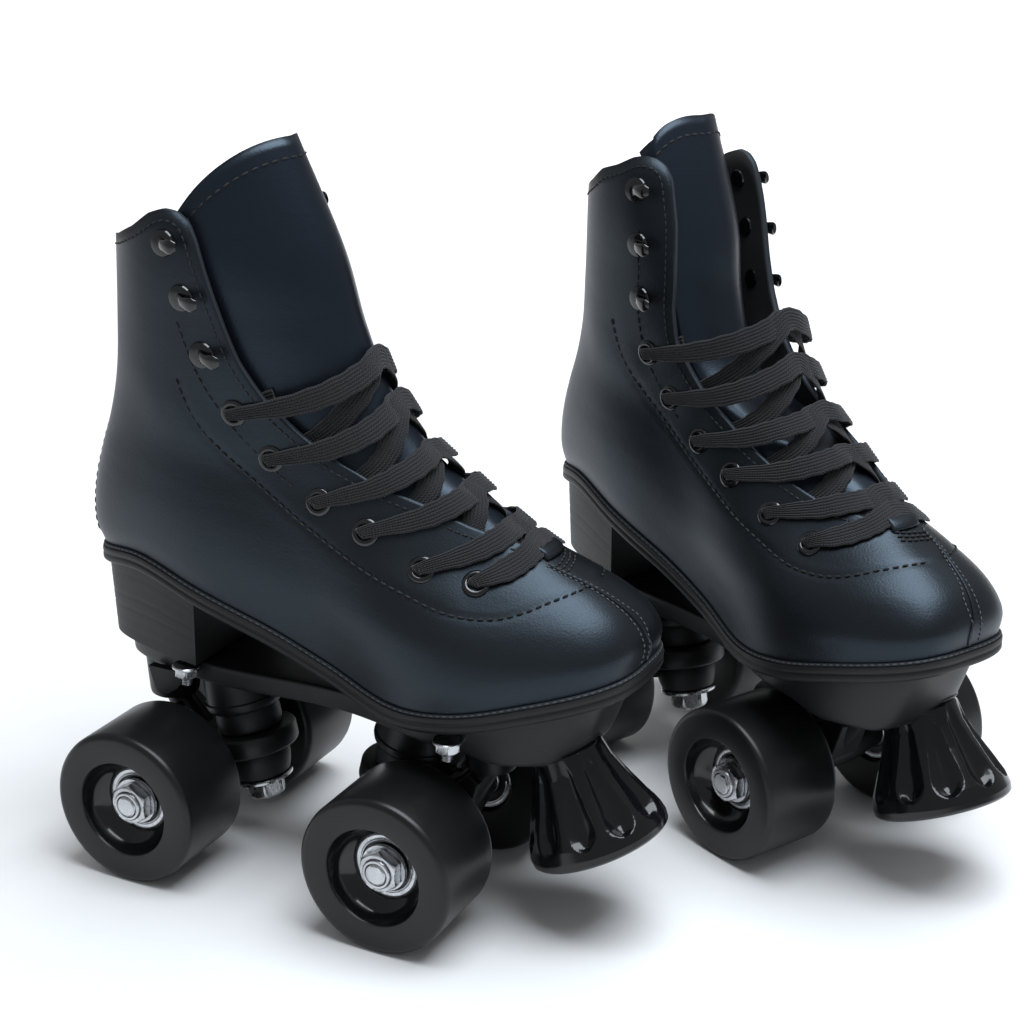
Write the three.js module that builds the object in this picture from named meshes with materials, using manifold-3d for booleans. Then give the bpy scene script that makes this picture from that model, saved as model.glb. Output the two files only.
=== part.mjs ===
// A pair of quad roller skates: two mirrored boots, each on a moulded plate with two steering
// trucks, four wheels on bearings and a fluted toe stop. Millimetres, +Z up, +X towards the toe of
// the right skate. The origin is on the floor, under the centre of the pair's bounding box.
import * as THREE from "three";
import { mergeVertices } from "three/addons/utils/BufferGeometryUtils.js";
import Module from "manifold-3d";

const wasm = await Module();
wasm.setup();

// ---- Driving dimensions ------------------------------------------------------------------------
const GAP = 0.3; // clearance between pieces that touch

const WHEEL_R = 27;
const WHEEL_Y = 37; // wheel's mid-plane, from the skate's centre plane
const WHEEL_HALF = 16; // half the wheel's width
const AXLE = { x: 48, z: WHEEL_R, r: 3.7, end: 51 };
const BEARING = { r: 11, bore: 4.1, width: 7, inner: -14.5, outer: 7 }; // faces from the mid-plane
const HUB_R = 8.4; // wheel's hub web, between the two bearings
const WHEEL_SIDES = 16;
const BEARING_SIDES = 12;

const KINGPIN = { foot: [25, 13], lean: THREE.MathUtils.degToRad(13.5), r: 3.6 };
const STACK = { washer: 9, ring: [19, 27], seat: 37, top: 43 }; // heights along the kingpin
const CUSHION_R = 11.5;
const RING_R = 15.5;
const PIVOT = { x: 63, z: 47.5, r: 4.8 }; // ball of the hanger in the plate's cup

const DECK = { top: 68.4, bottom: 61 };
const HEEL_BOTTOM = 69;
const SOLE_EDGE = 6;
const SOLE_LIP = 1.5; // how far the sole stands out past the upper
const PLATE_INSET = 7;

const STOP = { top: [89, 59.5], lean: THREE.MathUtils.degToRad(24), flutes: 10 };

const LEATHER = 2.2;
const TONGUE_INSET = LEATHER + 2.1; // leaves room for the lace under the facings
const TONGUE_THICK = 2.5;
const EYELETS = [
  [65.5, 117, 62.7, 115.8, 76], [48, 119.5, 43.9, 120.7, 62], [28, 128.3, 23.7, 128.6, 47],
  [11, 135.5, 6.3, 135.9, 34], [-6, 147.3, -9.6, 147.5, 24], [-18, 161.3, -19.9, 161.7, 19],
]; // the outer eyelet's x and z, the inner one's, and the ridge's x between them, from the toe up
const LACE = { half: 4, thick: 0.55, pinch: 1.9 };

const LEFT_SKATE = { x: 102.9, y: 124, turn: THREE.MathUtils.degToRad(-27.1) };

// ---- Materials ---------------------------------------------------------------------------------
const material = (color, roughness, metalness = 0) =>
  new THREE.MeshStandardMaterial({ color, roughness, metalness });
const leather = material(0x14171c, 0.45);
const lining = material(0x101114, 0.9);
const soleRubber = material(0x16161a, 0.6);
const cushionRubber = material(0x1c1c20, 0.55);
const plastic = material(0x131316, 0.45);
const urethane = material(0x141518, 0.35);
const stopRubber = material(0x0d0f14, 0.15);
const steel = material(0xb9bec4, 0.3, 0.9);
const cloth = material(0x18181b, 0.9);

// ---- Solids ------------------------------------------------------------------------------------
// Six times the signed volume of an indexed mesh.
function signedVolume(p, index) {
  let sum = 0;
  const corner = (i) => new THREE.Vector3(p[3 * i], p[3 * i + 1], p[3 * i + 2]);
  for (let i = 0; i < index.length; i += 3)
    sum += corner(index[i]).dot(corner(index[i + 1]).cross(corner(index[i + 2])));
  return sum;
}

// A closed geometry as a manifold-3d solid, its faces turned outwards.
function solid(geometry) {
  const bare = geometry.clone();
  for (const name of Object.keys(bare.attributes)) if (name !== "position") bare.deleteAttribute(name);
  const merged = mergeVertices(bare, 1e-3);
  const points = merged.attributes.position.array;
  let index = [];
  const all = merged.index.array;
  for (let i = 0; i < all.length; i += 3) {
    const [a, b, c] = [all[i], all[i + 1], all[i + 2]];
    if (a !== b && b !== c && c !== a) index.push(a, b, c);
  }
  if (signedVolume(points, index) < 0) index = index.reverse();
  return new wasm.Manifold(
    new wasm.Mesh({
      numProp: 3,
      vertProperties: new Float32Array(points),
      triVerts: new Uint32Array(index),
    }),
  );
}

function geometryOf(manifold) {
  const mesh = manifold.simplify(0.03).getMesh();
  const geometry = new THREE.BufferGeometry();
  geometry.setAttribute("position", new THREE.BufferAttribute(new Float32Array(mesh.vertProperties), 3));
  geometry.setIndex(new THREE.BufferAttribute(new Uint32Array(mesh.triVerts), 1));
  geometry.computeVertexNormals();
  return geometry;
}

const join = (first, ...rest) => rest.reduce((a, b) => a.add(b), first);
const cut = (first, ...rest) => rest.reduce((a, b) => a.subtract(b), first);

// A bar between two points, of radius r at the first and r2 at the second.
function bar(from, to, r, r2 = r, sides = 12) {
  const [a, b] = [new THREE.Vector3(...from), new THREE.Vector3(...to)];
  const along = b.clone().sub(a);
  const up = new THREE.Vector3(0, 1, 0);
  const turn = new THREE.Quaternion().setFromUnitVectors(up, along.clone().normalize());
  const matrix = new THREE.Matrix4().compose(a.add(b).multiplyScalar(0.5), turn, new THREE.Vector3(1, 1, 1));
  return solid(new THREE.CylinderGeometry(r2, r, along.length(), sides).applyMatrix4(matrix));
}

const ball = (x, z, r) => solid(new THREE.SphereGeometry(r, 10, 7).translate(x, 0, z));

// A closed (radius, y) profile turned about the Y axis.
const turned = (profile, sides, closed = true) =>
  new THREE.LatheGeometry(
    (closed ? [...profile, profile[0]] : profile).map(([r, y]) => new THREE.Vector2(r, y)),
    sides,
  );

const shape = (points) => new THREE.Shape(points.map(([a, b]) => new THREE.Vector2(a, b)));
const pushed = (points, depth) =>
  new THREE.ExtrudeGeometry(shape(points), { depth, bevelEnabled: false, curveSegments: 1 });

// A plan outline in X and Y, pushed up from z0 to z1.
const planSlab = (points, z0, z1) => solid(pushed(points, z1 - z0).translate(0, 0, z0));

// A side outline in X and Z, pushed across from y0 to y1.
const sideSlab = (points, y0, y1) =>
  solid(pushed(points, y1 - y0).rotateX(Math.PI / 2).translate(0, y1, 0));

// Rows of points, each row a closed loop, joined in order and back to the first.
function tubeSolid(rows) {
  const around = rows[0].length;
  const index = [];
  for (let i = 0; i < rows.length; i++)
    for (let j = 0; j < around; j++) {
      const k = (j + 1) % around;
      const [a, b] = [i * around, ((i + 1) % rows.length) * around];
      index.push(a + j, a + k, b + k, a + j, b + k, b + j);
    }
  return indexed(rows.flat(), index);
}

// Rows of points, each row a closed loop, joined in order, with a fan over both ends.
function cappedSolid(rows) {
  const around = rows[0].length;
  const points = rows.flat();
  const middle = (row) => row.reduce((s, p) => s.add(p), new THREE.Vector3()).divideScalar(around);
  const index = [];
  for (let i = 0; i + 1 < rows.length; i++)
    for (let j = 0; j < around; j++) {
      const k = (j + 1) % around;
      const [a, b] = [i * around, (i + 1) * around];
      index.push(a + j, a + k, b + k, a + j, b + k, b + j);
    }
  const low = points.push(middle(rows[0])) - 1;
  const high = points.push(middle(rows[rows.length - 1])) - 1;
  const top = (rows.length - 1) * around;
  for (let j = 0; j < around; j++) {
    const k = (j + 1) % around;
    index.push(low, k, j, high, top + j, top + k);
  }
  return indexed(points, index);
}

function indexed(points, index) {
  const geometry = new THREE.BufferGeometry().setFromPoints(points);
  geometry.setIndex(index);
  return solid(geometry);
}

// ---- The boot's form ---------------------------------------------------------------------------
// Level 0 is the line where the upper meets the sole, and level 1 is the top of the tongue. Each
// level is a closed loop from a point at the back to a point at the front ([x, z]), with the
// half-width at five stations from heel to toe, and a power that squares (<1) its ends.
const LEVELS = [
  { back: [-85, 101], front: [113, 90], power: 0.55, width: [29, 31, 27.5, 40, 39] },
  { back: [-88.5, 109], front: [114, 99], power: 0.6, width: [31, 33, 29, 42, 40] },
  { back: [-89, 118], front: [108, 109], power: 0.65, width: [32, 34, 30, 40, 36] },
  { back: [-88, 127], front: [96, 118], power: 0.7, width: [32, 34, 29, 34, 29] },
  { back: [-85.5, 137], front: [80, 126], power: 0.75, width: [31.5, 33, 27.5, 28, 23] },
  { back: [-82, 148], front: [62, 137], power: 0.8, width: [30.5, 32, 26, 24, 20] },
  { back: [-79, 160], front: [43, 149], power: 0.85, width: [30, 32, 27, 24, 20] },
  { back: [-77, 174], front: [28, 166], power: 0.9, width: [30, 32, 29, 25.5, 21.5] },
  { back: [-76, 190], front: [18, 187], power: 0.95, width: [30, 32, 30, 27.5, 23.5] },
  { back: [-75, 210], front: [10, 212], power: 1, width: [30, 32, 31, 28, 24] },
  { back: [-73, 245], front: [-7, 248], power: 1, width: [28, 29, 28, 24, 20] },
];
const SOLE_LINE = [101, 104.5, 98.5, 90.5, 81, 74.5, 77, 83.5, 90]; // level 0's height, heel to toe
const SOLE_FADE = 0.55; // level at which the sole line's curve has died out
const INWARD = 4.5; // how far the boot sits to the inner side of its trucks
const TOE_TURN = 3; // how much further the toe leans to the inner side
const ROUND = 26; // points round a level

// Catmull-Rom interpolation of evenly spaced numbers, at t from 0 to 1.
function smooth(values, t) {
  const place = Math.min(Math.max(t, 0), 1) * (values.length - 1);
  const i = Math.min(Math.floor(place), values.length - 2);
  const f = place - i;
  const [b, c] = [values[i], values[i + 1]];
  const a = i > 0 ? values[i - 1] : 2 * b - c;
  const d = i + 2 < values.length ? values[i + 2] : 2 * c - b;
  return b + 0.5 * f * (c - a + f * (2 * a - 5 * b + 4 * c - d + f * (3 * (b - c) + d - a)));
}

const atLevel = (pick, u) => smooth(LEVELS.map(pick), u);
const [SOLE_BACK, SOLE_FRONT] = [LEVELS[0].back, LEVELS[0].front];
const soleShare = (x) => (x - SOLE_BACK[0]) / (SOLE_FRONT[0] - SOLE_BACK[0]);
const soleZ = (x) => smooth(SOLE_LINE, soleShare(x));

// A point of the boot's outside at level u and angle turn (0 at the toe).
function outside(u, turn) {
  const front = [atLevel((l) => l.front[0], u), atLevel((l) => l.front[1], u)];
  const back = [atLevel((l) => l.back[0], u), atLevel((l) => l.back[1], u)];
  const t = (1 + Math.cos(turn)) / 2;
  const x = back[0] + (front[0] - back[0]) * t;
  const share = soleShare(x);
  const dip = smooth(SOLE_LINE, share) - (SOLE_BACK[1] + (SOLE_FRONT[1] - SOLE_BACK[1]) * share);
  const z = back[1] + (front[1] - back[1]) * t + dip * Math.max(0, 1 - u / SOLE_FADE);
  const half = smooth([0, 1, 2, 3, 4].map((i) => atLevel((l) => l.width[i], u)), t);
  const sine = Math.sin(turn);
  const across = Math.sign(sine) * Math.abs(sine) ** atLevel((l) => l.power, u) * half;
  return new THREE.Vector3(x, INWARD + across + TOE_TURN * t * t * Math.max(0, 1 - u / 0.8), z);
}

// The outside's point moved square to the surface, inwards by inset.
function bootPoint(u, turn, inset = 0) {
  const here = outside(u, turn);
  if (inset === 0) return here;
  const up = outside(Math.min(u + 0.02, 1), turn).sub(outside(Math.max(u - 0.02, 0), turn));
  const round = outside(u, turn + 0.06).sub(outside(u, turn - 0.06));
  return here.addScaledVector(round.cross(up).normalize(), -inset);
}

const loop = (u, inset) =>
  Array.from({ length: ROUND }, (_, j) => bootPoint(u, (2 * Math.PI * j) / ROUND, inset));

// The wall between two insets of the boot's form, from level u0 to level u1.
function bootWall(u0, u1, outer, inner, levels) {
  const at = (i) => u0 + ((u1 - u0) * i) / (levels - 1);
  const up = Array.from({ length: levels }, (_, i) => loop(at(i), outer));
  const down = Array.from({ length: levels }, (_, i) => loop(at(levels - 1 - i), inner));
  return tubeSolid([...up, ...down]);
}

// Where a rising test turns true, between low and high.
function bisect(low, high, test) {
  for (let i = 0; i < 30; i++) {
    const middle = (low + high) / 2;
    if (test(middle)) high = middle;
    else low = middle;
  }
  return low;
}

// Each pair of eyelets as levels and an angle: at the eyelets, and on the ridge between them.
function turnAt(u, x) {
  const [front, back] = [atLevel((l) => l.front[0], u), atLevel((l) => l.back[0], u)];
  return Math.acos(THREE.MathUtils.clamp((2 * (x - back)) / (front - back) - 1, -1, 1));
}

const LACING = EYELETS.map(([outerX, outerZ, innerX, innerZ, ridge]) => {
  const onSide = (x, z) => {
    const level = bisect(0.1, 0.9, (u) => outside(u, turnAt(u, x)).z > z);
    return [level, turnAt(level, x)];
  };
  const top = bisect(0.15, 1, (u) => atLevel((l) => l.front[0], u) < ridge);
  return { outer: onSide(outerX, outerZ), inner: onSide(innerX, innerZ), top };
});

// A place on the instep: pair of eyelets k (whole or between), across from -1 to 1.
function instepPoint(k, across, inset) {
  const at = (pick) => smooth(LACING.map(pick), k / (LACING.length - 1));
  const hand = across < 0 ? "outer" : "inner";
  const [top, side, turn] = [(p) => p.top, (p) => p[hand][0], (p) => p[hand][1]].map(at);
  const u = top + (side - top) * Math.abs(across) ** 1.35;
  return bootPoint(u, across * turn, inset);
}

// ---- Boot --------------------------------------------------------------------------------------
const mirrorY = (points) => points.map(([x, y]) => [x, -y]).reverse();
const inBoot = (points) => points.map(([x, y]) => [x, y + INWARD]);
const FACING_EDGE = [[80, -1], [73, -9], [45, -12.5], [12, -15], [-12, -18]]; // x, y
const COLLAR_BACK = [[-120, 206], [-77, 207], [-58, 214]];
const COLLAR_TOP = [[40, 158], [40, 300], [-120, 300]];
const COLLAR = {
  outer: [[-47, 223], [-38, 226], [-31, 224], [-27, 216], [-23, 202], [-18, 186], [-9, 168], [2, 158]],
  inner: [
    [-43, 221], [-33, 228], [-26, 230], [-19, 227.5], [-15.5, 224], [-11, 208], [-10, 190], [-10, 180],
    [-8, 168], [2, 158],
  ],
}; // x, z of the collar's and the facings' edges on each side; everything above is open
const TONGUE_PLAN = [[72, -7], [60, -16], [30, -20], [4, -24], [-16, -45], [-41, -45]];
const TONGUE_SIDE = [
  [-41, 205], [-12, 165], [8, 140], [40, 112], [90, 100], [90, 253], [-1, 253], [-12, 248],
  [-24, 241], [-36, 230], [-41, 219],
];

function upper() {
  const throat = planSlab(inBoot([...FACING_EDGE, ...mirrorY(FACING_EDGE)]), 112, 300);
  const wall = bootWall(0, 0.965, 0, LEATHER, 11);
  const above = (hand) => [...COLLAR_BACK, ...COLLAR[hand], ...COLLAR_TOP];
  const outer = sideSlab(above("outer"), -70, INWARD + 2);
  const inner = sideSlab(above("inner"), INWARD - 2, 70);
  return clearOfLace(cut(wall, throat, outer, inner, soleBand(-30, 0)));
}

function tongue() {
  const wall = bootWall(0.4, 1, TONGUE_INSET, TONGUE_INSET + TONGUE_THICK, 9);
  const outline = planSlab(inBoot([...TONGUE_PLAN, ...mirrorY(TONGUE_PLAN)]), 90, 300);
  return clearOfLace(wall.intersect(outline).intersect(sideSlab(TONGUE_SIDE, -60, 60)));
}

const plan = (inset) => loop(0, inset).map((p) => [p.x, p.y]);

// The space between two heights over the sole line.
function soleBand(low, high) {
  const x = Array.from({ length: 19 }, (_, i) => -90 + 12 * i);
  const row = (offset) => x.map((value) => [value, soleZ(value) + offset]);
  return sideSlab([...row(low), ...row(high).reverse()], -60, 60);
}

function outsole() {
  const edge = planSlab(plan(-SOLE_LIP), 50, 120).intersect(soleBand(-SOLE_EDGE - GAP, -GAP));
  const heelSide = [[-120, HEEL_BOTTOM], [-36, HEEL_BOTTOM], [-38, 92], [-60, 96], [-120, 96]];
  return join(edge, planSlab(plan(-0.5), 50, 120).intersect(sideSlab(heelSide, -60, 60)));
}

const insole = () => planSlab(plan(LEATHER + 1.2), 50, 120).intersect(soleBand(GAP, 3.2));

// ---- Lace --------------------------------------------------------------------------------------
// The lace's stations from one top eyelet to the other. Each half comes up through an eyelet,
// crosses over the tongue and goes under the other facing to the next eyelet down, and the halves
// meet in a bar over the lowest pair. A station is a place on the boot and the ribbon's half-width.
function laceStations() {
  const clear = LACE.thick + GAP;
  const [over, under] = [-clear - 0.2, LEATHER + clear];
  const low = TONGUE_INSET - clear - 0.5;
  const high = low - 2 * clear;
  const eyelet = (k, side) => [
    [k, side, under, LACE.pinch],
    [k, side * 1.02, LEATHER / 2, LACE.pinch],
    [k, side, over, LACE.pinch],
  ];
  const crossing = (k, side, centre) => {
    const at = (f, inset, share = 1) => [k - f, side * (1 - 2 * f), inset, LACE.half * share];
    const start = [at(0.13, over, 0.85), at(0.25, over), at(0.38, (over + centre) / 2), at(0.5, centre)];
    return [...start, at(0.62, (centre + under) / 2), at(0.75, under), at(0.87, under, 0.8)];
  };
  const top = EYELETS.length - 1;
  const half = (first, centre) => {
    const run = [];
    let side = first;
    for (let k = top; k >= 0; k--) {
      run.push(...eyelet(k, side), ...(k ? crossing(k, side, centre) : []));
      side = -side;
    }
    return run;
  };
  const bar = [0.75, 0.5, 0.25, 0, -0.25, -0.5, -0.75].map((f) => [0, f, over, LACE.half]);
  const tail = (side) => [top - 0.3, side * 0.9, under, LACE.half];
  return [tail(-1), ...half(-1, high), ...bar, ...half(1, low).reverse(), tail(1)];
}

// The ribbon's corners at every station, its section grown by extra.
function laceRows(extra) {
  const stations = laceStations();
  const places = stations.map(([k, across, inset]) => instepPoint(k, across, inset));
  return stations.map(([k, across, , halfWidth], i) => {
    const next = places[Math.min(i + 1, places.length - 1)];
    const ahead = next.clone().sub(places[Math.max(i - 1, 0)]).normalize();
    const toeward = instepPoint(k - 0.1, across, 0).sub(instepPoint(k + 0.1, across, 0));
    const wide = toeward.addScaledVector(ahead, -toeward.dot(ahead)).normalize();
    const thick = new THREE.Vector3().crossVectors(ahead, wide);
    const [w, h] = [halfWidth + extra, LACE.thick + extra];
    const corner = (a, b) => places[i].clone().addScaledVector(wide, a * w).addScaledVector(thick, b * h);
    return [corner(1, 1), corner(-1, 1), corner(-1, -1), corner(1, -1)];
  });
}

// A body with room made for the lace where it would touch.
function clearOfLace(body) {
  const rows = laceRows(GAP);
  const hull = (row, i) => wasm.Manifold.hull([...rows[i], ...row].map((p) => [p.x, p.y, p.z]));
  const touching = rows.slice(1).map(hull).filter((piece) => piece.intersect(body).volume() > 0);
  return body.subtract(wasm.Manifold.union(touching));
}

const lace = () => cappedSolid(laceRows(0));

// ---- Plate -------------------------------------------------------------------------------------
// A place along the kingpin of the truck at the front (end 1) or the rear (end -1).
function pin(s, end) {
  const q = KINGPIN.foot[0] + s * Math.sin(KINGPIN.lean);
  return [end * q, 0, KINGPIN.foot[1] + s * Math.cos(KINGPIN.lean)];
}

const stopAlong = new THREE.Vector3(Math.sin(STOP.lean), 0, -Math.cos(STOP.lean));
const stopAt = (s) => [STOP.top[0] + stopAlong.x * s, 0, STOP.top[1] + stopAlong.z * s];
const flip = (points, end) => (end > 0 ? points : points.map(([q, z]) => [-q, z]).reverse());

function plate() {
  const deckSide = [[-79, DECK.bottom], [66, DECK.bottom], [72, 57], [94, 57], [104, 66], [110, 76], [112, 90], [60, 90], [60, DECK.top], [-79, DECK.top]];
  let body = planSlab(plan(PLATE_INSET), 40, 120).intersect(sideSlab(deckSide, -60, 60));
  const fin = [[49, 62], [49, 57], [56, 52], [59.5, 53], [62, 62]];
  for (const end of [1, -1]) {
    body = join(
      body,
      bar(pin(STACK.seat, end), pin(51, end), 13.5, 12),
      bar([end * PIVOT.x, 0, PIVOT.z], [end * PIVOT.x, 0, 63], 8.5, 9.5),
      sideSlab(flip(fin, end), -16, -13),
      sideSlab(flip(fin, end), 13, 16),
    );
    body = cut(
      body,
      bar(pin(STACK.seat - 5, end), pin(STACK.top + 1, end), KINGPIN.r + GAP),
      solid(new THREE.SphereGeometry(PIVOT.r + GAP + 0.1, 12, 8).translate(end * PIVOT.x, 0, PIVOT.z)),
    );
  }
  body = join(body, bar(stopAt(-GAP), stopAt(-15), 13, 13));
  body = cut(body, bar(stopAt(-GAP), stopAt(25), 15), bar(stopAt(5), stopAt(-11), 4 + GAP));
  return cut(body, soleBand(-SOLE_EDGE - 2 * GAP, 60));
}

// ---- Toe stop ----------------------------------------------------------------------------------
// Rows of the pad: distance from its top, radius and depth of the flutes.
const STOP_ROWS = [[0, 12.5, 0], [7, 13.5, 0.8], [18, 18, 2.6], [28, 22.5, 2.4], [32.5, 23, 0.5], [35, 20, 0]];

function toeStop() {
  const sides = STOP.flutes * 3;
  const across = new THREE.Vector3(Math.cos(STOP.lean), 0, Math.sin(STOP.lean));
  const rows = STOP_ROWS.map(([s, radius, depth]) =>
    Array.from({ length: sides }, (_, j) => {
      const turn = (2 * Math.PI * j) / sides;
      const r = radius - depth * (0.5 + 0.5 * Math.cos(STOP.flutes * turn));
      const place = new THREE.Vector3(...stopAt(s)).addScaledVector(across, r * Math.cos(turn));
      return place.add(new THREE.Vector3(0, r * Math.sin(turn), 0));
    }),
  );
  return cut(cappedSolid(rows), bar(stopAt(-5), stopAt(22), 4 + GAP));
}

const toeStopBolt = () => bar(stopAt(-10), stopAt(21), 4);

// ---- Trucks ------------------------------------------------------------------------------------
function hanger(end) {
  const x = end * AXLE.x;
  const web = [[42.5, 25], [46, 20], [54, 21], [58, 32], [62, 42], [57, 45], [51, 38], [46, 37], [40, 34]];
  const body = join(
    bar(pin(STACK.ring[0], end), pin(STACK.ring[1], end), RING_R, RING_R, 20),
    sideSlab(flip(web, end), -7, 7),
    bar([x, -20, AXLE.z], [x, 20, AXLE.z], 7.5),
    bar([x, -22.2, AXLE.z], [x, 22.2, AXLE.z], 6),
    bar([end * 52, 0, 32], [end * (PIVOT.x - 0.6), 0, PIVOT.z - 1.5], 6, 4.2),
    ball(end * PIVOT.x, PIVOT.z, PIVOT.r),
  );
  const bore = bar([x, -60, AXLE.z], [x, 60, AXLE.z], AXLE.r + GAP);
  return cut(body, bore, bar(pin(STACK.ring[0] - 6, end), pin(STACK.ring[1] + 6, end), 6));
}

const bored = (body, end) => cut(body, bar(pin(0, end), pin(45, end), KINGPIN.r + GAP));
const cushionLow = (end) =>
  bored(bar(pin(STACK.washer + GAP, end), pin(STACK.ring[0] - GAP, end), 9.5, CUSHION_R), end);
const cushionHigh = (end) =>
  bored(bar(pin(STACK.ring[1] + GAP, end), pin(STACK.seat - GAP, end), CUSHION_R, 10.5), end);

function kingpin(end) {
  const shaft = bar(pin(0, end), pin(STACK.top, end), KINGPIN.r);
  const washer = bar(pin(STACK.washer - 1.5, end), pin(STACK.washer, end), 10.5);
  return join(shaft, washer, bar(pin(1.5, end), pin(STACK.washer - 1.4, end), 7.2, 7.2, 6));
}

const axle = (end) => bar([end * AXLE.x, -AXLE.end, AXLE.z], [end * AXLE.x, AXLE.end, AXLE.z], AXLE.r);

function nut(end, side) {
  const [x, z] = [end * AXLE.x, AXLE.z];
  const across = (y0, y1, r, sides) => bar([x, side * y0, z], [x, side * y1, z], r, r, sides);
  const face = WHEEL_Y + BEARING.outer + GAP;
  return cut(join(across(face, face + 1.4, 8, 14), across(face + 1.2, face + 5.2, 6.9, 6)), across(40, 55, AXLE.r + GAP, 14));
}

// ---- Wheels ------------------------------------------------------------------------------------
const placed = (geometry, end, side) =>
  solid(geometry.scale(1, side, 1).translate(end * AXLE.x, side * WHEEL_Y, AXLE.z));

function wheel(end, side) {
  const seat = BEARING.r + GAP;
  const { outer, inner, width } = BEARING;
  const profile = [
    [seat, outer + 0.5], [13.5, WHEEL_HALF], [25, WHEEL_HALF], [WHEEL_R, WHEEL_HALF - 2],
    [WHEEL_R, 2 - WHEEL_HALF], [25, -WHEEL_HALF], [seat, -WHEEL_HALF], [seat, inner + width + GAP],
    [HUB_R, inner + width + GAP], [HUB_R, outer - width - GAP], [seat, outer - width - GAP],
  ];
  return placed(turned(profile, WHEEL_SIDES), end, side);
}

function bearings(end, side) {
  const { r, bore, width, inner, outer } = BEARING;
  const profile = [
    [bore, inner], [r, inner], [r, inner + width], [6, inner + width],
    [6, outer - width], [r, outer - width], [r, outer], [bore, outer],
  ];
  return placed(turned(profile, BEARING_SIDES), end, side);
}

// ---- Assembly ----------------------------------------------------------------------------------
function skatePieces() {
  const pieces = [
    ["boot_upper", upper(), leather],
    ["tongue", tongue(), leather],
    ["outsole", outsole(), soleRubber],
    ["insole", insole(), lining],
    ["lace", lace(), cloth],
    ["plate", plate(), plastic],
    ["toe_stop", toeStop(), stopRubber],
    ["toe_stop_bolt", toeStopBolt(), steel],
  ];
  for (const [end, place] of [[1, "front"], [-1, "rear"]]) {
    pieces.push([`${place}_hanger`, hanger(end), plastic]);
    pieces.push([`${place}_cushion_upper`, cushionHigh(end), cushionRubber]);
    pieces.push([`${place}_cushion_lower`, cushionLow(end), cushionRubber]);
    pieces.push([`${place}_kingpin`, kingpin(end), steel]);
    pieces.push([`${place}_axle`, axle(end), steel]);
    for (const [side, hand] of [[-1, "outer"], [1, "inner"]]) {
      pieces.push([`${place}_${hand}_wheel`, wheel(end, side), urethane]);
      pieces.push([`${place}_${hand}_bearings`, bearings(end, side), steel]);
      pieces.push([`${place}_${hand}_nut`, nut(end, side), steel]);
    }
  }
  return pieces.map(([name, body, look]) => [name, geometryOf(body), look]);
}

function skate(prefix, pieces) {
  const group = new THREE.Group();
  group.name = `${prefix}_skate`;
  for (const [name, geometry, look] of pieces) {
    const mesh = new THREE.Mesh(geometry, look);
    mesh.name = `${prefix}_${name}`;
    group.add(mesh);
  }
  return group;
}

const pieces = skatePieces();
const group = new THREE.Group();
const right = skate("right", pieces);
const left = skate("left", pieces);
left.scale.y = -1;
left.rotation.z = LEFT_SKATE.turn;
left.position.set(LEFT_SKATE.x, LEFT_SKATE.y, 0);
group.add(right, left);

group.updateMatrixWorld(true);
const bounds = new THREE.Box3().setFromObject(group, true);
const middle = bounds.getCenter(new THREE.Vector3());
group.position.set(-middle.x, -middle.y, -bounds.min.z);

export default group;
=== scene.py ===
"""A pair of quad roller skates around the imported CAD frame.

Pieces are built in one skate's own frame (millimetres, +X to the toe, +Y to the inner side, +Z up,
origin on the floor between the axles) and placed twice: as they are for the right skate, mirrored
for the left one.
"""

import math

import bmesh
import bpy
import numpy as np
from mathutils import Matrix, Vector


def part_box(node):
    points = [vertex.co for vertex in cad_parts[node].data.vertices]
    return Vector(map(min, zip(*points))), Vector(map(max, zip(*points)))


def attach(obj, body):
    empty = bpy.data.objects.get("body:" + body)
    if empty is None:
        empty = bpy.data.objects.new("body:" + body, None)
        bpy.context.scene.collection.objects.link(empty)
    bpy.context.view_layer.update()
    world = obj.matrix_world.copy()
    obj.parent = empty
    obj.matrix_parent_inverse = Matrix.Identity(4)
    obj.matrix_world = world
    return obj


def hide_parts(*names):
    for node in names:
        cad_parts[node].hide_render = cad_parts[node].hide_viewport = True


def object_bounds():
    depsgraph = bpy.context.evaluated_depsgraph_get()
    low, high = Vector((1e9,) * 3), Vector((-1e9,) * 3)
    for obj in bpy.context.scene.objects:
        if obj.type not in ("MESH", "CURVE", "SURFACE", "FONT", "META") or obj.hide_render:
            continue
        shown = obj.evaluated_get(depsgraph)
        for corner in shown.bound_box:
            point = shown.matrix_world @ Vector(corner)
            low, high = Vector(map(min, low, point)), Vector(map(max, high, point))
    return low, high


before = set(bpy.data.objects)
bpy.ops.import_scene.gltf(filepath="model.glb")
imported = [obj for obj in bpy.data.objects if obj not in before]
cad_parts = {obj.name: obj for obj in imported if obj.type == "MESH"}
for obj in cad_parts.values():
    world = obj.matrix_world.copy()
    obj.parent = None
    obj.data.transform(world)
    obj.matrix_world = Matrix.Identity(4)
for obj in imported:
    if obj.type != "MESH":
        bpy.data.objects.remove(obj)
CAD_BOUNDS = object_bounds()
SIDES = ("right", "left")
ENDS = (("front", 1), ("rear", -1))
HANDS = (("outer", -1), ("inner", 1))
MM = 0.001
WELD = 2e-6  # metres within which a piece's points are joined

# ---- Dimensions, in millimetres, as in the CAD source ------------------------------------------
WHEEL_R, WHEEL_Y = 27, 37
AXLE_X, AXLE_R, AXLE_END = 48, 3.7, 51
BEARING_OUTER, BEARING_INNER = 7, -14.5
PIN_FOOT, PIN_LEAN, PIN_R = (25, 13), math.radians(13.5), 3.6
PIVOT = (63, 47.5, 4.8)
DECK_TOP = 68.4
HEEL_BOTTOM = 69
STOP_TOP, STOP_LEAN, FLUTES = (89, 59.5), math.radians(24), 10
LEATHER = 2.2
TONGUE_INSET, TONGUE_THICK = LEATHER + 2.1, 2.5
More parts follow.
